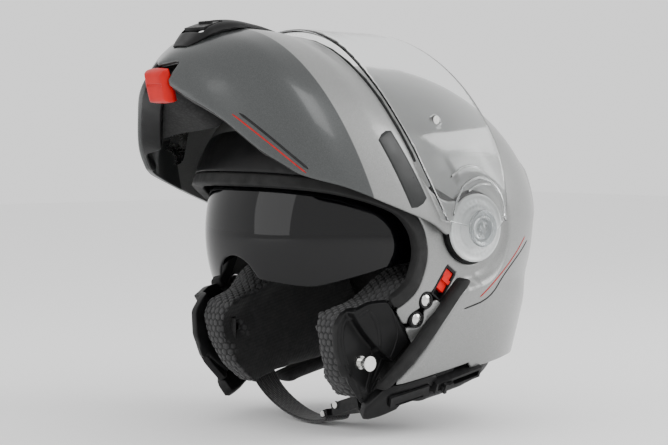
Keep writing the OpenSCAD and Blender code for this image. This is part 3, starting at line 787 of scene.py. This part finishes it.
def far_from(p, at, r):
    """Above 0 within r of a side-view place."""
    return r - np.hypot(p[..., 0] - at[0], p[..., 2] - at[1])


def hole(where, a, b, half_a, half_b, corner=1.0):
    """A rounded rectangle to cut out, but only where the condition holds."""
    return np.where(where, -box_cut(a, b, half_a, half_b, corner), -50.0)


cut_by = np.maximum.reduce  # what is left when every one of these outlines has cut


# ---------------------------------------------------------------- shell and trims
STEP = 1.1
globe = rays(STEP)
shell_p = globe * shell_reach(globe)[..., None]
x, y, z = xyz(shell_p)
d_open, d_jaw = distance(OPENING_R, x, z), distance(JAW_R, x, z)
pj_a, pj_b = rotated(x, z, PJ_AT, PJ_TURN)
cuts = [6 - d_open, shell_edge_z(x) - z, 0.3 - d_jaw, far_from(shell_p, (0, 0), 25.3),
        hole(y > 60, pj_a, pj_b, 12.3, 5.4),
        hole(z > 60, x - 60, y, 13, 8, 3)]
cuts += [far_from(shell_p, at, 5.9) for at in STUDS]
cuts += [hole(x < -60, y - k, z - 14, 9, 4.5, 2) for k in (-34, 0, 34)]
shell = finish(solid("shell_skin", shell_p, cut_by(cuts), SHELL_T, edge=1.3, edge_in=0.8),
               "shell", "shell_grey", "outer_shell")

# Painted shade: the shell's faces over the brow take the black trim material, standing in for the shadow that falls
# under the raised chin bar.
shell.data.materials.append(LOOK["trim_black"])
BROW_SHADE_LOW, BROW_SHADE_HIGH, BROW_SHADE_SIDE = math.radians(8), math.radians(31), math.radians(60)
for poly in shell.data.polygons:
    c = poly.center / MM
    turn, off = math.atan2(c.z, c.x), math.atan2(abs(c.y), math.hypot(c.x, c.z))
    poly.material_index = int(c.x > 20 and BROW_SHADE_LOW < turn < BROW_SHADE_HIGH and off < BROW_SHADE_SIDE)

fine = rays(0.8, -100, 60)
trim_p = fine * (shell_reach(fine) + 0.4)[..., None]
x, y, z = xyz(trim_p)
d = distance(OPENING_R, x, z)
lower = distance([(78, -40), (260, -40), (260, -200), (40, -200), (40, -98)], x, z)
finish(solid("eyeport_seal", trim_p, cut_by([d - 5.7, -3 - d, 0.3 - distance(JAW_R, x, z), -lower]), 9.0,
             edge=1.6, steps=4, wrap=False), "shell", "seal_rubber", "eyeport_trim")

rim_p = globe * (shell_reach(globe) + 0.3)[..., None]
x, y, z = xyz(rim_p)
rim_cut = [z - shell_edge_z(x) + 0.3, rim_z(x) - z, 0.3 - d_jaw, -d_open,
           -np.where(y > 0, rim_pocket(rim_p, LEVER_AT, LEVER_YAW, 20.3, 5.0), 50),
           -np.where(y > 0, rim_pocket(rim_p, COMM_AT, COMM_YAW, 15.3, 5.0), 50)]
finish(solid("lower_rim", rim_p, cut_by(rim_cut), 8.4, edge=1.6, steps=4), "shell", "trim_black", "rim_trim")

# jaw plates, with the channel that the latch hooks swing through
WELL_Y, WELL_IN, WELL_OUT = 86.0, 105.8, 133.0
jaw_rays = rays(0.5, -75, -25, 20, 80)


def jaw_at(x, y, z):
    r = np.hypot(x, z)
    held = np.maximum(body_at(x, y, z) * 60, np.abs(y) - sweep_y(r) + 0.6)
    well = np.maximum(WELL_IN - r, r - WELL_OUT)
    return np.maximum(held, np.abs(y) - (WELL_Y + 30 * ramp(well, -0.9, 0.5)))


jaw_p = jaw_rays * reach(jaw_rays, jaw_at)[..., None]
jaw_g = distance(JAW_R, jaw_p[..., 0], jaw_p[..., 2]) + 0.2
for side_name, s in SIDES:
    finish(solid("jaw_cover_" + side_name, jaw_p, jaw_g, 6.0, edge=0.8, wrap=False,
                 place=lambda v, s=s: v * (1, s, 1)), "shell", "trim_black", "jaw_plate_" + side_name)
    if s < 0:
        bpy.data.objects["jaw_cover_right"].data.flip_normals()


# ---------------------------------------------------------------- bands laid on a side surface
def side_y(x, z, inside=body_at):
    """How far out a side surface stands at side-view points."""
    low, high = np.zeros(np.shape(x)), np.full(np.shape(x), 150.0)
    for _ in range(24):
        mid = (low + high) / 2
        out = inside(x, mid, z) > 0
        high, low = np.where(out, mid, high), np.where(out, low, mid)
    return (low + high) / 2


def along(path, gap=2.0, rounds=2):
    """An open path with its corners cut, in even steps."""
    p = np.array(path, float)
    for _ in range(rounds):
        q = p[1:]
        cut = np.stack([p[:-1] * 0.75 + q * 0.25, p[:-1] * 0.25 + q * 0.75], 1).reshape(-1, 2)
        p = np.concatenate([p[:1], cut, p[-1:]])
    s = np.concatenate([[0], np.cumsum(np.linalg.norm(np.diff(p, axis=0), axis=1))])
    t = np.linspace(0, s[-1], max(3, int(s[-1] / gap) + 1))
    return np.stack([np.interp(t, s, p[:, k]) for k in (0, 1)], axis=1)


def strip(name, path, section, inside=body_at, side=1, place=None, taper=3.0):
    """A band along a side-view path. section is a closed ring of (across, lift) over the surface."""
    p = along(path)
    t = np.gradient(p, axis=0)
    t /= np.linalg.norm(t, axis=1, keepdims=True)
    across = np.stack([-t[:, 1], t[:, 0]], axis=1)
    run = np.linspace(0, 1, len(p)) * np.linalg.norm(np.diff(p, axis=0), axis=1).sum()
    end = np.clip(np.minimum(run, run[-1] - run) / taper, 0.15, 1) ** 0.5
    sec = np.array(section, float)
    xz = p[:, None, :] + across[:, None, :] * (sec[None, :, 0] * end[:, None])[..., None]
    lift = sec[None, :, 1]
    y = side_y(xz[..., 0], xz[..., 1], inside) + lift * np.where(lift > 0, end[:, None], 1)
    v = np.stack([xz[..., 0], side * y, xz[..., 1]], axis=-1).reshape(-1, 3)
    k, n = len(sec), len(p)
    faces = [(i * k + j, i * k + (j + 1) % k, (i + 1) * k + (j + 1) % k, (i + 1) * k + j)
             for i in range(n - 1) for j in range(k)]
    faces += [tuple(range(k))[::-1], tuple((n - 1) * k + j for j in range(k))]
    o = mesh(name, place(v) if place else v, faces)
    return recalculated(o)


def ridge(half, height, under=0.8):
    """The section of a low rounded bead."""
    top = [(half * math.cos(a), height * math.sin(a)) for a in np.linspace(0, math.pi, 9)]
    return top + [(-half, -under), (half, -under)]


SEAL_PATH = [(9.5, -34.2), (15.5, -36), (41.5, -67), (62.5, -93), (72, -107)]
SEAL_SECTION = [(-4.2, -6), (-4.6, 0.9), (-3.8, 1.7), (-2.6, 2.0), (-0.6, 1.9), (0.8, 1.3), (1.7, 0.2),
                (2.3, -1.4), (2.8, -6)]
for side_name, s in SIDES:
    o = strip("edge_seal_" + side_name, [(a - 2.4, b - 1.8) for a, b in SEAL_PATH],
              [(a, b - 1.6) for a, b in SEAL_SECTION], side=s)
    finish(o, "shell", "seal_rubber", *(["side_seals"] if s > 0 else []))

JAW_RIBS = ([(80, -54), (90, -60.5), (94.5, -68), (93.5, -84), (84.5, -104), (75, -117)],
            [(79, -55), (70, -67), (66, -90), (74, -113)], [(64, -56), (52, -78), (68, -106)])
for side_name, s in SIDES:
    for k, path in enumerate(JAW_RIBS):
        o = strip("jaw_rib_%s_%d" % (side_name, k), path, ridge(1.3 if k < 2 else 0.7, 0.55), jaw_at, s)
        finish(o, "shell", "trim_black")

# ---------------------------------------------------------------- rear spoiler and vents
SPOILER = fillet([(-150, 44), (-96, 52), (-100, 10), (-90, -16), (-150, -12)], 8)


def spoiler_at(x, y, z):
    """The body, swollen and moved back, that the spoiler reaches."""
    return body_at(x + 4, y, z, -4.0)


back = rays(1.0, 120, 240, -45, 45)
base, full = reach(back, body_at), reach(back, spoiler_at)
sp = back * full[..., None]
x, y, z = xyz(sp)
sp_in = back * (base + 0.3)[..., None]
outline = np.maximum(distance(SPOILER, x, z), np.abs(y) - 66)
sp_g = np.maximum(outline, -box_cut(y, z - 22, 25, 3.5, 3))
# its height dies away towards its outline, so it grows out of the shell
sp = back * (base + 1.6 + np.maximum(full - base - 1.6, 0) * ramp(-outline, 0.0, 15.0))[..., None]
finish(solid("spoiler", sp, sp_g, inner=sp_in, edge=2.0, edge_in=0.3, steps=4, wrap=False),
       "shell", "shell_grey", "rear_spoiler")

front = rays(0.9, 20, 80, -30, 30)
tv = front * reach(front, lambda x, y, z: body_at(x, y, z - 5))[..., None]
tv_in = front * (reach(front, body_at) + 0.3)[..., None]
VENT_TOP = fillet([(90, -10), (90, 10), (42, 22), (42, -22)], 6)
x, y, _ = xyz(tv)
tv_g = np.maximum(distance(VENT_TOP, x, y), -box_cut(x - 63, y, 9.6, 12.3, 1))
finish(solid("top_vent_cowl", tv, tv_g, inner=tv_in, edge=1.8, edge_in=0.2, steps=4, wrap=False),
       "shell", "trim_black", "top_vent_base")
dress("top_vent_slider", "trim_black", 0.5)
dress("rear_exhaust_grille", "trim_black", 0.3)

# ---------------------------------------------------------------- chin bar, made closed and then raised
FACE_R = np.array([(0, 141), (30, 144), (50, 149), (68, 153), (140, 154)], float).T


def room_at(x, y, z, gap=1.0):
    """Below 0 in what the closed chin bar has to leave free as it swings up."""
    r, w = np.hypot(x, z) - gap, np.abs(y) - gap
    brow = w - brow_sweep_y(r) + np.where(r > 137, (r - 137) * 10, 0)
    low = np.maximum(w - sweep_y(np.minimum(r, 152)), r - np.interp(np.abs(y), *FACE_R))
    open_by = ramp(z + 0.577 * x, 0.0, 16.0)
    return np.minimum(brow, low + open_by * 60)


chin_rays = rays(STEP * 0.85, -88, 20)
outer = chin_rays * reach(chin_rays, body_at)[..., None]
x, y, z = xyz(outer)
chin_g = cut_by([
    distance(CHIN_R, x, z), far_from(outer, (0, 0), 24.5),
    hole(z < -100, x - 149.2, y, 14.6, 13.9, 2),
    hole(x > 140, y, z + 88, 13, 25, 3)])
finish(solid("chin_skin", outer, chin_g, SKIN_T - 0.4, edge=1.3, edge_in=0.9, wrap=False, place=raised),
       "chin_bar", "shell_grey", "chin_bar_shell", look=CHIN_PAINT)

inner_skin = reach(chin_rays, lambda x, y, z: body_at(x, y, z, SKIN_T + 0.3))
room = reach(chin_rays, room_at)
depth = np.minimum(room + 0.3, inner_skin - 3.0)
fr = chin_rays * inner_skin[..., None]
x, y, z = xyz(fr)
dc = distance(CHIN_R, x, z)
fr_in = chin_rays * np.maximum(depth, inner_skin - 16.0)[..., None]
fr_g = cut_by([dc + 1, -8 - dc, 78 - x, z + 60, hole(z < -120, x - 148, y, 13.5, 14, 2)])
finish(solid("chin_rim_frame", fr, fr_g, inner=fr_in, edge=1.0, edge_in=1.4, wrap=False, place=raised),
       "chin_bar", "trim_black", "chin_bar_frame")

pad_room = reach(chin_rays, lambda x, y, z: room_at(x, y, z, 1.6))
ln_in = chin_rays * (np.minimum(pad_room + 0.3, inner_skin - 3.0))[..., None]
ln_g = cut_by([dc + 8.3, 98 - x, hole(x > 140, y, z + 88, 13.5, 25.5, 3), hole(z < -115, x - 148, y, 16.5, 15, 2)])
finish(solid("chin_liner", fr, ln_g, inner=ln_in, edge=1.0, edge_in=2.6, steps=4, wrap=False, place=raised),
       "chin_bar", "foam", "chin_bar_liner")

VENT_SIDE = curve([(-121, 0.8), (-112, 3.5), (-98, 7.2), (-86, 8.2), (-74, 6.6), (-58, 4.2), (-42, 1.6), (-37, 0.5)])
VENT_HALF = curve([(-121, 8), (-114, 13), (-98, 19), (-84, 20), (-64, 16), (-46, 11), (-37, 6)])
vent_rays = rays(0.45, -48, -8, -14, 14)
base = reach(vent_rays, body_at)
bare = vent_rays * base[..., None]
x, y, z = xyz(bare)
crown = np.clip(1 - (np.abs(y) / np.maximum(VENT_HALF(z), 1)) ** 4, 0, 1) ** 0.5
scoop = ramp(-box_cut(y, z + 96, 11.8, 10.5, 2), 0.0, 1.6) * 3.4
cowl = vent_rays * (base + 0.4 + VENT_SIDE(z) * crown - scoop * ramp(z, -108, -104))[..., None]
cowl_g = cut_by([np.abs(y) - VENT_HALF(z), z + 37, -121 - z, -box_cut(y, z + 95.6, 12.6, 10.6, 1.5)])
cowl_in = vent_rays * np.maximum(base - 1.2, np.linalg.norm(cowl, axis=-1) - 1.5)[..., None]
o = solid("chin_vent_cowl", cowl, cowl_g, inner=cowl_in, edge=0.6, edge_in=0.3, wrap=False, place=raised)
finish(o, "chin_bar", "trim_black", "chin_vent_body")

# ---------------------------------------------------------------- visors
vr = rays(STEP * 0.85, -60, 200)
vis = vr * reach(vr, visor_at)[..., None]
x, y, z = xyz(vis)
lobe = np.minimum(-x, np.hypot(x, z) - 26)
vis_g = cut_by([distance(VISOR_R, x, z), lobe, far_from(vis, (0, 0), 10.3), far_from(vis, LENS_PIN, 3.1)])
finish(solid("clear_shield", vis, vis_g, 2.2, edge=0.8, edge_in=0.8, wrap=False, place=raised, least=200),
       "visor", "clear_visor", "visor")
LOBE_RIDGES = ([(-3, 24), (20, 27), (35, 12), (33, -9), (17, -22)], [(25, 19), (30, 10), (28, -4)],
               [(38, 16), (46, 4), (42, -14)])
for side_name, s in SIDES:
    for k, path in enumerate(LOBE_RIDGES):
        section = ridge(0.7 if k else 1.0, 0.6)
        o = strip("lobe_ridge_%s_%d" % (side_name, k), path, section, visor_at, s, raised, 2.0)
        finish(o, "visor", "clear_visor")

sr = rays(STEP * 0.85, -60, 80)
turned, sideways = np.hypot(sr[..., 0], sr[..., 2]), np.abs(sr[..., 1])
reach_s = 1 / (turned ** 2.2 / SUN_R ** 2.2 + sideways ** 2.2 / SUN_W ** 2.2) ** (1 / 2.2)
sun = sr * reach_s[..., None] + (SUN_AXIS[0], 0, SUN_AXIS[1])
x, y, z = xyz(sun)
sun_g = cut_by([
    np.minimum(distance(SUN_R_LINE, x, z), np.hypot(x - SUN_AXIS[0], z - SUN_AXIS[1]) - 13),
    far_from(sun, SUN_AXIS, 3.05), np.where(x > 90, 24 - np.hypot(y, z + 44), -50)])
finish(solid("sun_shield", sun, sun_g, SUN_T, edge=0.7, edge_in=0.7, wrap=False, least=200),
       "sun_visor", "smoke_visor", "sun_visor")

# ---------------------------------------------------------------- soft pads
def evaluated(o):
    """The object's mesh with its modifiers applied."""
    deps = bpy.context.evaluated_depsgraph_get()
    m = bpy.data.meshes.new_from_object(o.evaluated_get(deps))
    old = o.data
    o.modifiers.clear()
    o.data = m
    bpy.data.meshes.remove(old)
    return o


def points_of(m):
    """The mesh's points, as rows."""
    p = np.empty(len(m.vertices) * 3)
    m.vertices.foreach_get("co", p)
    return p.reshape(-1, 3)


def normals_of(m):
    """Its normals at those points."""
    n = np.empty(len(m.vertices) * 3)
    m.vertices.foreach_get("normal", n)
    return n.reshape(-1, 3)


def set_points(m, p):
    m.vertices.foreach_set("co", np.ascontiguousarray(p, float).ravel())
    m.update()


PAD_FRAMES, PAD_PRESSURE, PAD_SMOOTHING = 20, 4.0, 16


def pad(name, source, voxel=4.5, shrink=1.0, cap=3.0, levels=1, emboss=None):
    """A stuffed pad: the CAD solid, drawn in a little, blown up as cloth, and smoothed."""
    m = NODES[source].data.copy()
    o = bpy.data.objects.new(name, m)
    bpy.context.scene.collection.objects.link(o)
    r = o.modifiers.new("remesh", "REMESH")
    r.mode, r.voxel_size = "VOXEL", voxel * MM
    evaluated(o)
    start = points_of(o.data) - normals_of(o.data) * shrink * MM
    set_points(o.data, start)
    c = o.modifiers.new("cloth", "CLOTH")
    c.settings.use_pressure = True
    c.settings.uniform_pressure_force = PAD_PRESSURE
    c.settings.effector_weights.gravity = 0
    c.settings.tension_stiffness = c.settings.compression_stiffness = 12
    c.settings.bending_stiffness = 1.0
    for f in range(1, PAD_FRAMES + 1):
        bpy.context.scene.frame_set(f)
    deps = bpy.context.evaluated_depsgraph_get()
    blown = points_of(o.evaluated_get(deps).data)
    o.modifiers.clear()
    bpy.context.scene.frame_set(1)
    move = blown - start
    far = np.linalg.norm(move, axis=1, keepdims=True)
    set_points(o.data, start + move * np.minimum(1, cap * MM / np.maximum(far, 1e-9)))
    soft = o.modifiers.new("even", "SMOOTH")
    soft.factor, soft.iterations = 0.5, PAD_SMOOTHING
    sub = o.modifiers.new("fine", "SUBSURF")
    sub.levels = sub.render_levels = levels
    evaluated(o)
    if emboss is not None:
        p, n = points_of(o.data), normals_of(o.data)
        height = emboss(p / MM, n)
        set_points(o.data, p + n * (height * HEX_DEPTH)[:, None] * MM)
        # the height is kept as "cell" to colour the cloth: painted shade in the grooves, which stay darker than the
        # cushions
        cell = o.data.attributes.new("cell", "FLOAT", "POINT")
        cell.data.foreach_set("value", np.ascontiguousarray(height, dtype=np.float32))
    o.data.polygons.foreach_set("use_smooth", [True] * len(o.data.polygons))
    finish(o, "shell", "lining_cloth", source, look=HONEYCOMB if emboss else None)
    return o


HEX_PITCH, HEX_DEPTH, HEX_GROOVE = 5.0, 0.9, 0.9
HONEYCOMB = honeycomb_cloth()


def hexes(a, b):
    """0 in the grooves of a honeycomb, 1 on its cushions."""
    row = HEX_PITCH * math.sqrt(3)
    best = np.full(a.shape, 1e9)
    for oa, ob in ((0, 0), (HEX_PITCH / 2, row / 2)):
        da = (a - oa + HEX_PITCH / 2) % HEX_PITCH - HEX_PITCH / 2
        db = (b - ob + row / 2) % row - row / 2
        best = np.minimum(best, np.maximum(np.abs(da), np.abs(da) * 0.5 + np.abs(db) * math.sqrt(3) / 2))
    return ramp(HEX_PITCH / 2 - best, 0.2, HEX_GROOVE)


def honeycomb(p, n):
    """The cushions' height, projected along whichever way the cloth faces, and only where the cloth turns towards
    +X; elsewhere it is 0, which the cloth shows in its dark groove colour.
    """
    w = np.abs(n) ** 6
    w /= w.sum(1, keepdims=True)
    x, y, z = p.T
    h = hexes(y, z) * w[:, 0] + hexes(x, z) * w[:, 1] + hexes(x, y) * w[:, 2]
    return h * ramp(n[:, 0], 0.02, 0.22)


for side_name in ("left", "right"):
    pad("cheek_cushion_" + side_name, "cheek_pad_" + side_name, 2.7, 1.4, 3.0, 2, honeycomb)
pad("crown_lining", "comfort_liner", 4.0, 0.8, 2.4)
pad("neck_bolster", "neck_roll", 4.0, 1.2, 2.8)

# ---------------------------------------------------------------- straps
LEFT_STRAP = [(88, -58), (82.6, -80), (76.8, -100), (74, -110), (67, -119), (62, -126), (57.6, -130), (55.4, -129.4),
              (54.5, -123.5)]
RIGHT_STRAP = [(-88, -58), (-82.6, -80), (-76.8, -100), (-72, -112), (-61, -124), (-44, -134), (-22, -141.5),
               (-2, -143.5), (12, -141.8), (17.2, -140.5), (19.8, -139.3), (19.6, -137.6), (18.5, -134)]


def webbing(name, path, source, thick=1.9):
    """Flat webbing with thickened woven edges."""
    p = along(path, 1.6)
    t = np.gradient(p, axis=0)
    t /= np.linalg.norm(t, axis=1, keepdims=True)
    up = np.stack([-t[:, 1], t[:, 0]], axis=1)
    half, h = STRAP_W / 2, thick / 2
    k = 22
    s = np.linspace(-1, 1, k)
    edge = np.sqrt(np.maximum(0, 1 - np.clip((np.abs(s) - 0.93) / 0.07, 0, 1) ** 2))
    sel = 1 + 0.12 * np.exp(-((np.abs(s) - 0.86) / 0.06) ** 2)
    top, low = h * np.maximum(edge * sel, 0.12), -h * np.maximum(edge * sel, 0.12)
    ring = [(half * a, b) for a, b in zip(s, top)] + [(half * a, b) for a, b in zip(s[::-1], low[::-1])]
    verts, faces = [], []
    for i, (c, n) in enumerate(zip(p, up)):
        twill = 0.06 * math.sin(i * 1.9)
        for a, b in ring:
            off = b + twill * np.sign(b)
            verts.append((STRAP_X + a, c[0] + n[0] * off, c[1] + n[1] * off))
    m = len(ring)
    faces = [(i * m + j, (i + 1) * m + j, (i + 1) * m + (j + 1) % m, i * m + (j + 1) % m)
             for i in range(len(p) - 1) for j in range(m)]
    faces += [tuple(range(m)), tuple((len(p) - 1) * m + j for j in range(m))[::-1]]
    return finish(recalculated(mesh(name, verts, faces)), "shell", "webbing", source)


webbing("chin_strap_left", LEFT_STRAP, "strap_left")
webbing("chin_strap_right", RIGHT_STRAP, "strap_right")

# ---------------------------------------------------------------- kept CAD hardware
for material_name, edge_mm, names in (
        ("trim_black", 0.5, "pj_track comm_cover sun_lever_track sun_lever buckle_housing buckle_tongue chin_vent_flap"),
        ("trim_black", 0.35, "hinge_plate_left hinge_plate_right hinge_carrier_left hinge_carrier_right rivet_grommets"),
        ("signal_red", 0.5, "pj_slider"),
        ("signal_red", 0.4, "buckle_lever")):
    for n in names.split():
        dress(n, material_name, edge_mm)

# the latch button: a low key with rounded shoulders and a finger notch, made closed and then raised
bu, bv = np.meshgrid(np.linspace(-1, 1, 49), np.linspace(-1, 1, 49), indexing="ij")
key_x = 150 + 12.2 * bu * np.sqrt(1 - 0.14 * bv ** 2)
key_y = 12.8 * bv * np.sqrt(1 - 0.14 * bu ** 2)
edge = np.maximum(np.abs(bu), np.abs(bv))
notch = np.exp(-((bu - 0.15) / 0.075) ** 2) * ramp(0.72 - np.abs(bv), 0.0, 0.1)
key_z = -150.3 + 1.6 * (bu + 1) / 2 + 5.2 * edge ** 9 + 1.1 * notch
low_z = np.full(bu.shape, -142.2)
grid = [np.stack([key_x, key_y, w], axis=-1).reshape(-1, 3) for w in (key_z, low_z)]
k = bu.shape[0]
cells = [(i * k + j, (i + 1) * k + j, (i + 1) * k + j + 1, i * k + j + 1)
         for i in range(k - 1) for j in range(k - 1)]
under = [tuple(c + k * k for c in q[::-1]) for q in cells]
around = ([j for j in range(k)] + [i * k + k - 1 for i in range(1, k)]
          + [(k - 1) * k + j for j in range(k - 2, -1, -1)] + [i * k for i in range(k - 2, 0, -1)])
sides = [(a, b, b + k * k, a + k * k) for a, b in zip(around, around[1:] + around[:1])]
button = mesh("latch_button_key", raised(np.concatenate(grid)), cells + under + sides)
finish(recalculated(button), "release_button", "signal_red", "release_button")

for n in ("striker_left", "striker_right", "latch_hook_left", "latch_hook_right", "hinge_screws", "buckle_rivets",
          "sun_hinge_studs", "lens_pins"):
    dress(n, "bright_steel", 0.3)
RATCHET = [(8.2, 115.65), (23.4, 115.65), (23.8, 116.1), (23.8, 117.9), (23.2, 118.7), (21.8, 118.7), (21.3, 118.1),
           (18.4, 118.1), (18.0, 118.9), (15.6, 118.9), (15.1, 118.2), (12.8, 118.2), (12.3, 119.3), (10.2, 119.6),
           (9.8, 120.0), (9.8, 123.6), (9.2, 124.2), (8.2, 124.2)]
CAP = [(0.05, 124.55), (12.6, 124.55), (13.0, 124.9), (12.9, 125.5), (12.3, 125.9), (11.2, 126.0), (10.6, 125.5),
       (8.0, 125.4), (7.6, 125.9), (6.4, 125.9), (6.0, 125.2), (3.4, 125.1), (3.0, 125.8), (0.05, 125.9)]
TEETH, TOOTH = 30, 0.5
for side_name, s in SIDES:
    o = ring_lathe("visor_ratchet_" + side_name, RATCHET, s, TEETH, TOOTH)
    finish(o, "chin_bar", "hub_clear", "visor_base_" + side_name, look=HUB_PLASTIC)
    finish(recalculated(lathe("pivot_cap_" + side_name, CAP, (0, 0), s, 72, raised)), "chin_bar", "hub_clear",
           *(["visor_caps"] if s > 0 else []))
dress("visor_seal", "seal_rubber", 0.4)
dress("eps_liner", "foam", 0)

# domed rivets over the strap's ends
for k, at in enumerate(STUDS):
    top = 111.7 if k == 0 else 109.0
    for side_name, s in SIDES:
        prof = [(0.05, 96), (2.4, 96), (2.4, 106.8), (4.1, 107), (4.4, 107.4), (4.4, top - 1.3), (4.1, top - 0.8),
                (3.5, top - 0.5), (3.1, top - 0.45), (2.7, top - 0.2), (1.6, top), (0.05, top + 0.1)]
        o = lathe("rivet_%s_%d" % (side_name, k), prof, at, s)
        finish(recalculated(o), "shell", "bright_steel", *(["strap_rivets"] if (k, s) == (0, 1) else []))

# ---------------------------------------------------------------- painted lines
LINE_H = 0.22


def painted(name, path, half, body, slot, side, place=None, inside=body_at, look=None):
    across = np.linspace(-half, half, max(2, int(half * 1.5)))
    section = [(a, LINE_H) for a in across] + [(a, -0.3) for a in across[::-1]]
    o = strip(name, path, section, inside, side, place, 0.5)
    return finish(o, body, slot, look=look)


DECAL_RED = moulded("decal_red", (0.26, 0.003, 0.003), (0.34, 0.005, 0.004), 0.4, 1100.0, 0.05)
DECAL_DARK = moulded("decal_dark", (0.016, 0.017, 0.017), (0.024, 0.025, 0.025), 0.34, 1500.0, 0.05)
CHIN_RED = [(125.6, -131.7), (110.7, -126.8), (94.7, -120.4), (78.4, -113.0)]
CHIN_BLACK = [(125.3, -128.6), (111.1, -123.7), (95.9, -117.8), (80.6, -111.2)]
SHELL_RED = [(-62.4, -8.4), (-38.3, -25.7), (-3.2, -48.4)]
SHELL_BLACK = [(-67.7, -11.6), (-31.8, -32.4), (-13.8, -49.7), (11.8, -55.9)]
for side_name, s in SIDES:
    painted("line_red_chin_" + side_name, CHIN_RED, 0.4, "chin_bar", "signal_red", s, raised, look=DECAL_RED)
    painted("line_dark_chin_" + side_name, CHIN_BLACK, 0.7, "chin_bar", "trim_black", s, raised)
    painted("line_red_shell_" + side_name, SHELL_RED, 0.42, "shell", "signal_red", s, look=DECAL_RED)
    painted("line_dark_shell_" + side_name, SHELL_BLACK, 0.5, "shell", "trim_black", s)
    painted("panel_dark_chin_" + side_name, [(86.3, -50.6), (54, -46.9), (32.0, -44.2)], 7.6, "chin_bar",
            "trim_black", s, raised, look=DECAL_DARK)

# ---------------------------------------------------------------- floor and lights
floor_z = cad_box[0][2] / MM - 1
floor = mesh("floor", [(-4000, -4000, floor_z), (4000, -4000, floor_z), (4000, 4000, floor_z),
                       (-4000, 4000, floor_z)], [(0, 1, 2, 3)])
floor.data.materials.append(material("pale_floor", (0.93, 0.93, 0.93), 0.9))
world = bpy.data.worlds.new("studio")
world.use_nodes = True
world.node_tree.nodes["Background"].inputs["Color"].default_value = (1, 1, 1, 1)
world.node_tree.nodes["Background"].inputs["Strength"].default_value = 1.25
bpy.context.scene.world = world


def softbox(name, place, size, power):
    data = bpy.data.lights.new(name, "AREA")
    data.shape, data.size, data.energy = "SQUARE", size, power
    o = bpy.data.objects.new(name, data)
    o.location = place
    o.rotation_euler = (-Vector(place)).to_track_quat("-Z", "Y").to_euler()
    bpy.context.scene.collection.objects.link(o)


softbox("key", (0.2, 1.5, 1.3), 0.9, 10)
softbox("fill", (1.6, -0.2, 0.5), 1.2, 7)
softbox("rim", (-1.2, 0.9, 0.6), 0.8, 13)
